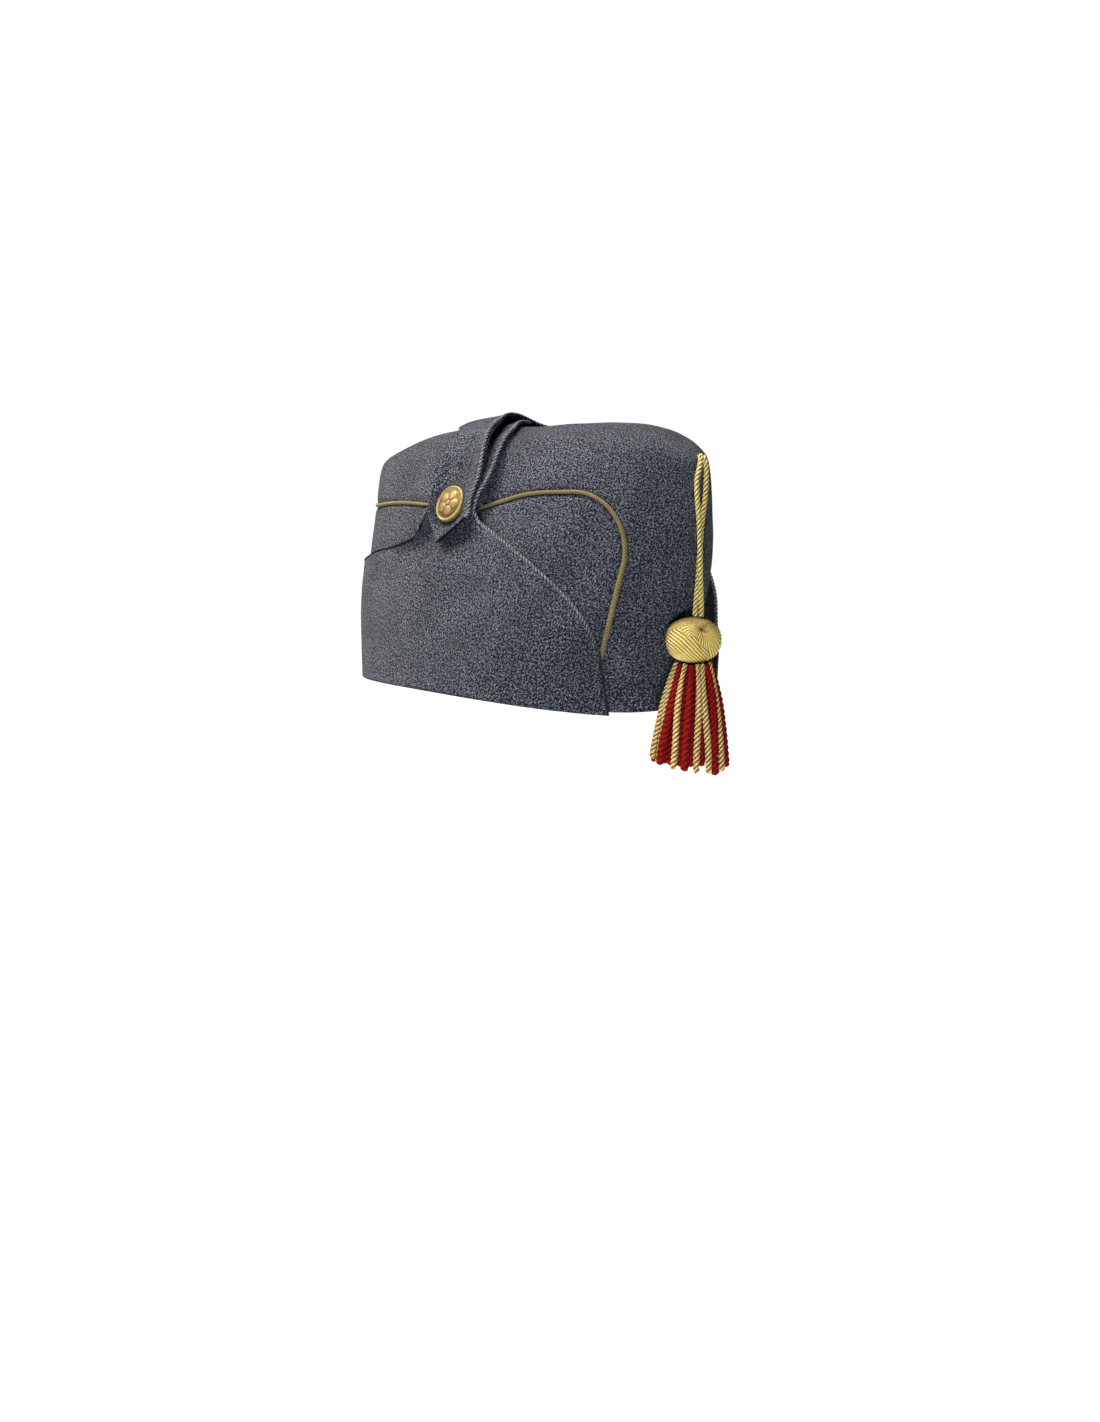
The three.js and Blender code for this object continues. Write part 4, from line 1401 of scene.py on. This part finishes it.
class CAP_OT_tassel_head(bpy.types.Operator):
    """Make the wound head of the tassel"""

    bl_idname = "cap.tassel_head"
    bl_label = "Tassel Head"

    def execute(self, context):
        pole = unit(np.array(HEAD_POLE))
        side = unit(np.cross(pole, (0.0, 0.0, 1.0)))
        above = np.cross(side, pole)
        turn = np.linspace(0, 2 * math.pi, HEAD_RING + 1)[:, None]
        tilt = np.linspace(0, math.pi, HEAD_ROWS + 1)[None, :]
        swirl = turn + 0.5 * (1 - np.cos(tilt))
        across = side * np.cos(turn)[..., None] + above * np.sin(turn)[..., None]
        facing = pole * np.cos(tilt)[..., None] + across * np.sin(tilt)[..., None]
        half = np.array(HEAD_HALF)
        body = np.sum(np.abs(facing / half) ** HEAD_ROUNDNESS, axis=-1) ** (-1 / HEAD_ROUNDNESS)
        wound = HEAD_THREADS * swirl / (2 * math.pi) + 0.25 * np.sin(5 * turn + 3 * tilt)
        across_threads = facing @ unit(np.array(HEAD_CROSSING))
        crossing = HEAD_CROSS_THREADS * np.arccos(np.clip(across_threads, -1, 1))
        crossing = crossing + 0.3 * np.sin(3 * tilt + 2 * turn)
        crossed = facing @ unit(np.array(HEAD_CROSSED))
        over = smooth(crossed + 0.1 * np.sin(7 * turn) * np.sin(tilt), 0.28, 0.4)
        first = round_rib(wound) * smooth(np.sin(tilt), 0.05, 0.3) * (1 - over)
        second = round_rib(crossing) * over
        phase = np.where(over > 0.5, crossing, wound)
        dimple = DIMPLE_DEPTH * np.exp(-(tilt / DIMPLE_WIDTH) ** 2)
        radius = body - THREAD_GROOVE + THREAD_HEIGHT * np.maximum(first, second) - dimple
        points = in_cap(*HEAD_MIDDLE) + facing * radius[..., None]
        weave = np.stack(np.broadcast_arrays(phase, tilt * 12 * MM), axis=-1)
        mesh, uv = new_mesh()
        lay_grid(mesh, uv, points, weave)
        close_up(mesh)
        piece = put_in_scene(mesh, "wound_head", [wound_thread(context.scene.cap_colours)])
        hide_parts("tassel_head")
        hang_on_cords()
        return {"FINISHED"}


def strand_path(turn, neck, flare, end, sway):
    """Middle line of a fringe strand from the neck to its loose end."""
    angle = math.radians(FRINGE_FRONT_TURN - turn)
    share = np.linspace(0, 1, STRAND_POINTS)
    spread = share ** 0.8
    radius = neck[0] * (1 - spread) + flare * spread + STRAND_BULGE * np.sin(math.pi * share)
    aside = sway * np.sin(1.7 * math.pi * share)
    ahead = radius * math.cos(angle) - aside * math.sin(angle)
    across = radius * math.sin(angle) + aside * math.cos(angle)
    forward = HEAD_MIDDLE[0] + ahead + FRINGE_LEAN[0] * share
    right = HEAD_MIDDLE[1] + across + FRINGE_LEAN[1] * share
    return along_path(in_cap(forward, right, neck[1] * (1 - share) + end * share), ROPE_SPACING)


def add_strand(mesh, uv, path, diameter, pitch, number):
    """Adds a strand that swells below the neck and ends round."""
    ways = arc_lengths(path)
    swell = diameter / MM / 2 * (0.66 + 0.34 * smooth(ways, 2, 24))
    radius = rounded_ends(ways, swell, STRAND_END)
    add_rope(mesh, uv, path, radius, pitch, ring=21, depth=0.5, start=2.4 * number)


class CAP_OT_fringe(bpy.types.Operator):
    """Make the gold and red strands of the fringe"""

    bl_idname = "cap.fringe"
    bl_label = "Fringe"

    def execute(self, context):
        sizes = context.scene.cap_sizes
        colours = context.scene.cap_colours
        kinds = (
            ("gold", sizes.gold_strand, GOLD_PITCH, strand_thread(colours), "gold_cord"),
            ("red", sizes.red_strand, RED_PITCH, red_thread(colours), "red_cord"),
        )
        for kind, diameter, pitch, finish, slot in kinds:
            mesh, uv = new_mesh()
            for number, (turn, strand_kind, flare, end) in enumerate(STRANDS):
                if strand_kind == kind:
                    sway = STRAND_SWAY * math.sin(2.4 * number)
                    path = strand_path(turn, NECK[kind], flare, end, sway)
                    add_strand(mesh, uv, path, diameter, pitch, number)
            if kind == "red":
                for number in range(CORE_STRANDS):
                    turn = 360 * number / CORE_STRANDS
                    path = strand_path(turn, CORE_NECK, CORE_FLARE, CORE_END, CORE_SWAY)
                    add_strand(mesh, uv, path, diameter, pitch, number)
            close_up(mesh)
            piece = put_in_scene(mesh, "fringe_" + kind, [finish])
            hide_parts("tassel_fringe_" + kind)
        return {"FINISHED"}


class CAP_PT_panel(bpy.types.Panel):
    """The cap's sizes, colours and pieces"""

    bl_idname = "CAP_PT_panel"
    bl_label = "Tasseled Side Cap"
    bl_space_type = "VIEW_3D"
    bl_region_type = "UI"
    bl_category = "Cap"

    def draw(self, context):
        layout = self.layout
        for group in (context.scene.cap_sizes, context.scene.cap_colours):
            box = layout.box()
            for name in group.__annotations__:
                box.prop(group, name)
        for maker in MAKERS:
            layout.operator(maker.bl_idname)


MAKERS = (
    CAP_OT_stage,
    CAP_OT_tassel_cords,
    CAP_OT_crown,
    CAP_OT_piping,
    CAP_OT_flaps,
    CAP_OT_button,
    CAP_OT_tassel_head,
    CAP_OT_fringe,
)
CLASSES = (CapSizes, CapColours, *MAKERS, CAP_PT_panel)


def register():
    for cls in CLASSES:
        bpy.utils.register_class(cls)
    bpy.types.Scene.cap_sizes = PointerProperty(type=CapSizes)
    bpy.types.Scene.cap_colours = PointerProperty(type=CapColours)


def unregister():
    del bpy.types.Scene.cap_colours
    del bpy.types.Scene.cap_sizes
    for cls in reversed(CLASSES):
        bpy.utils.unregister_class(cls)


def main():
    register()
    bpy.ops.cap.stage()
    bpy.ops.cap.tassel_cords()
    bpy.ops.cap.crown()
    bpy.ops.cap.piping()
    bpy.ops.cap.flaps()
    bpy.ops.cap.button()
    bpy.ops.cap.tassel_head()
    bpy.ops.cap.fringe()


if __name__ == "__main__":
    main()
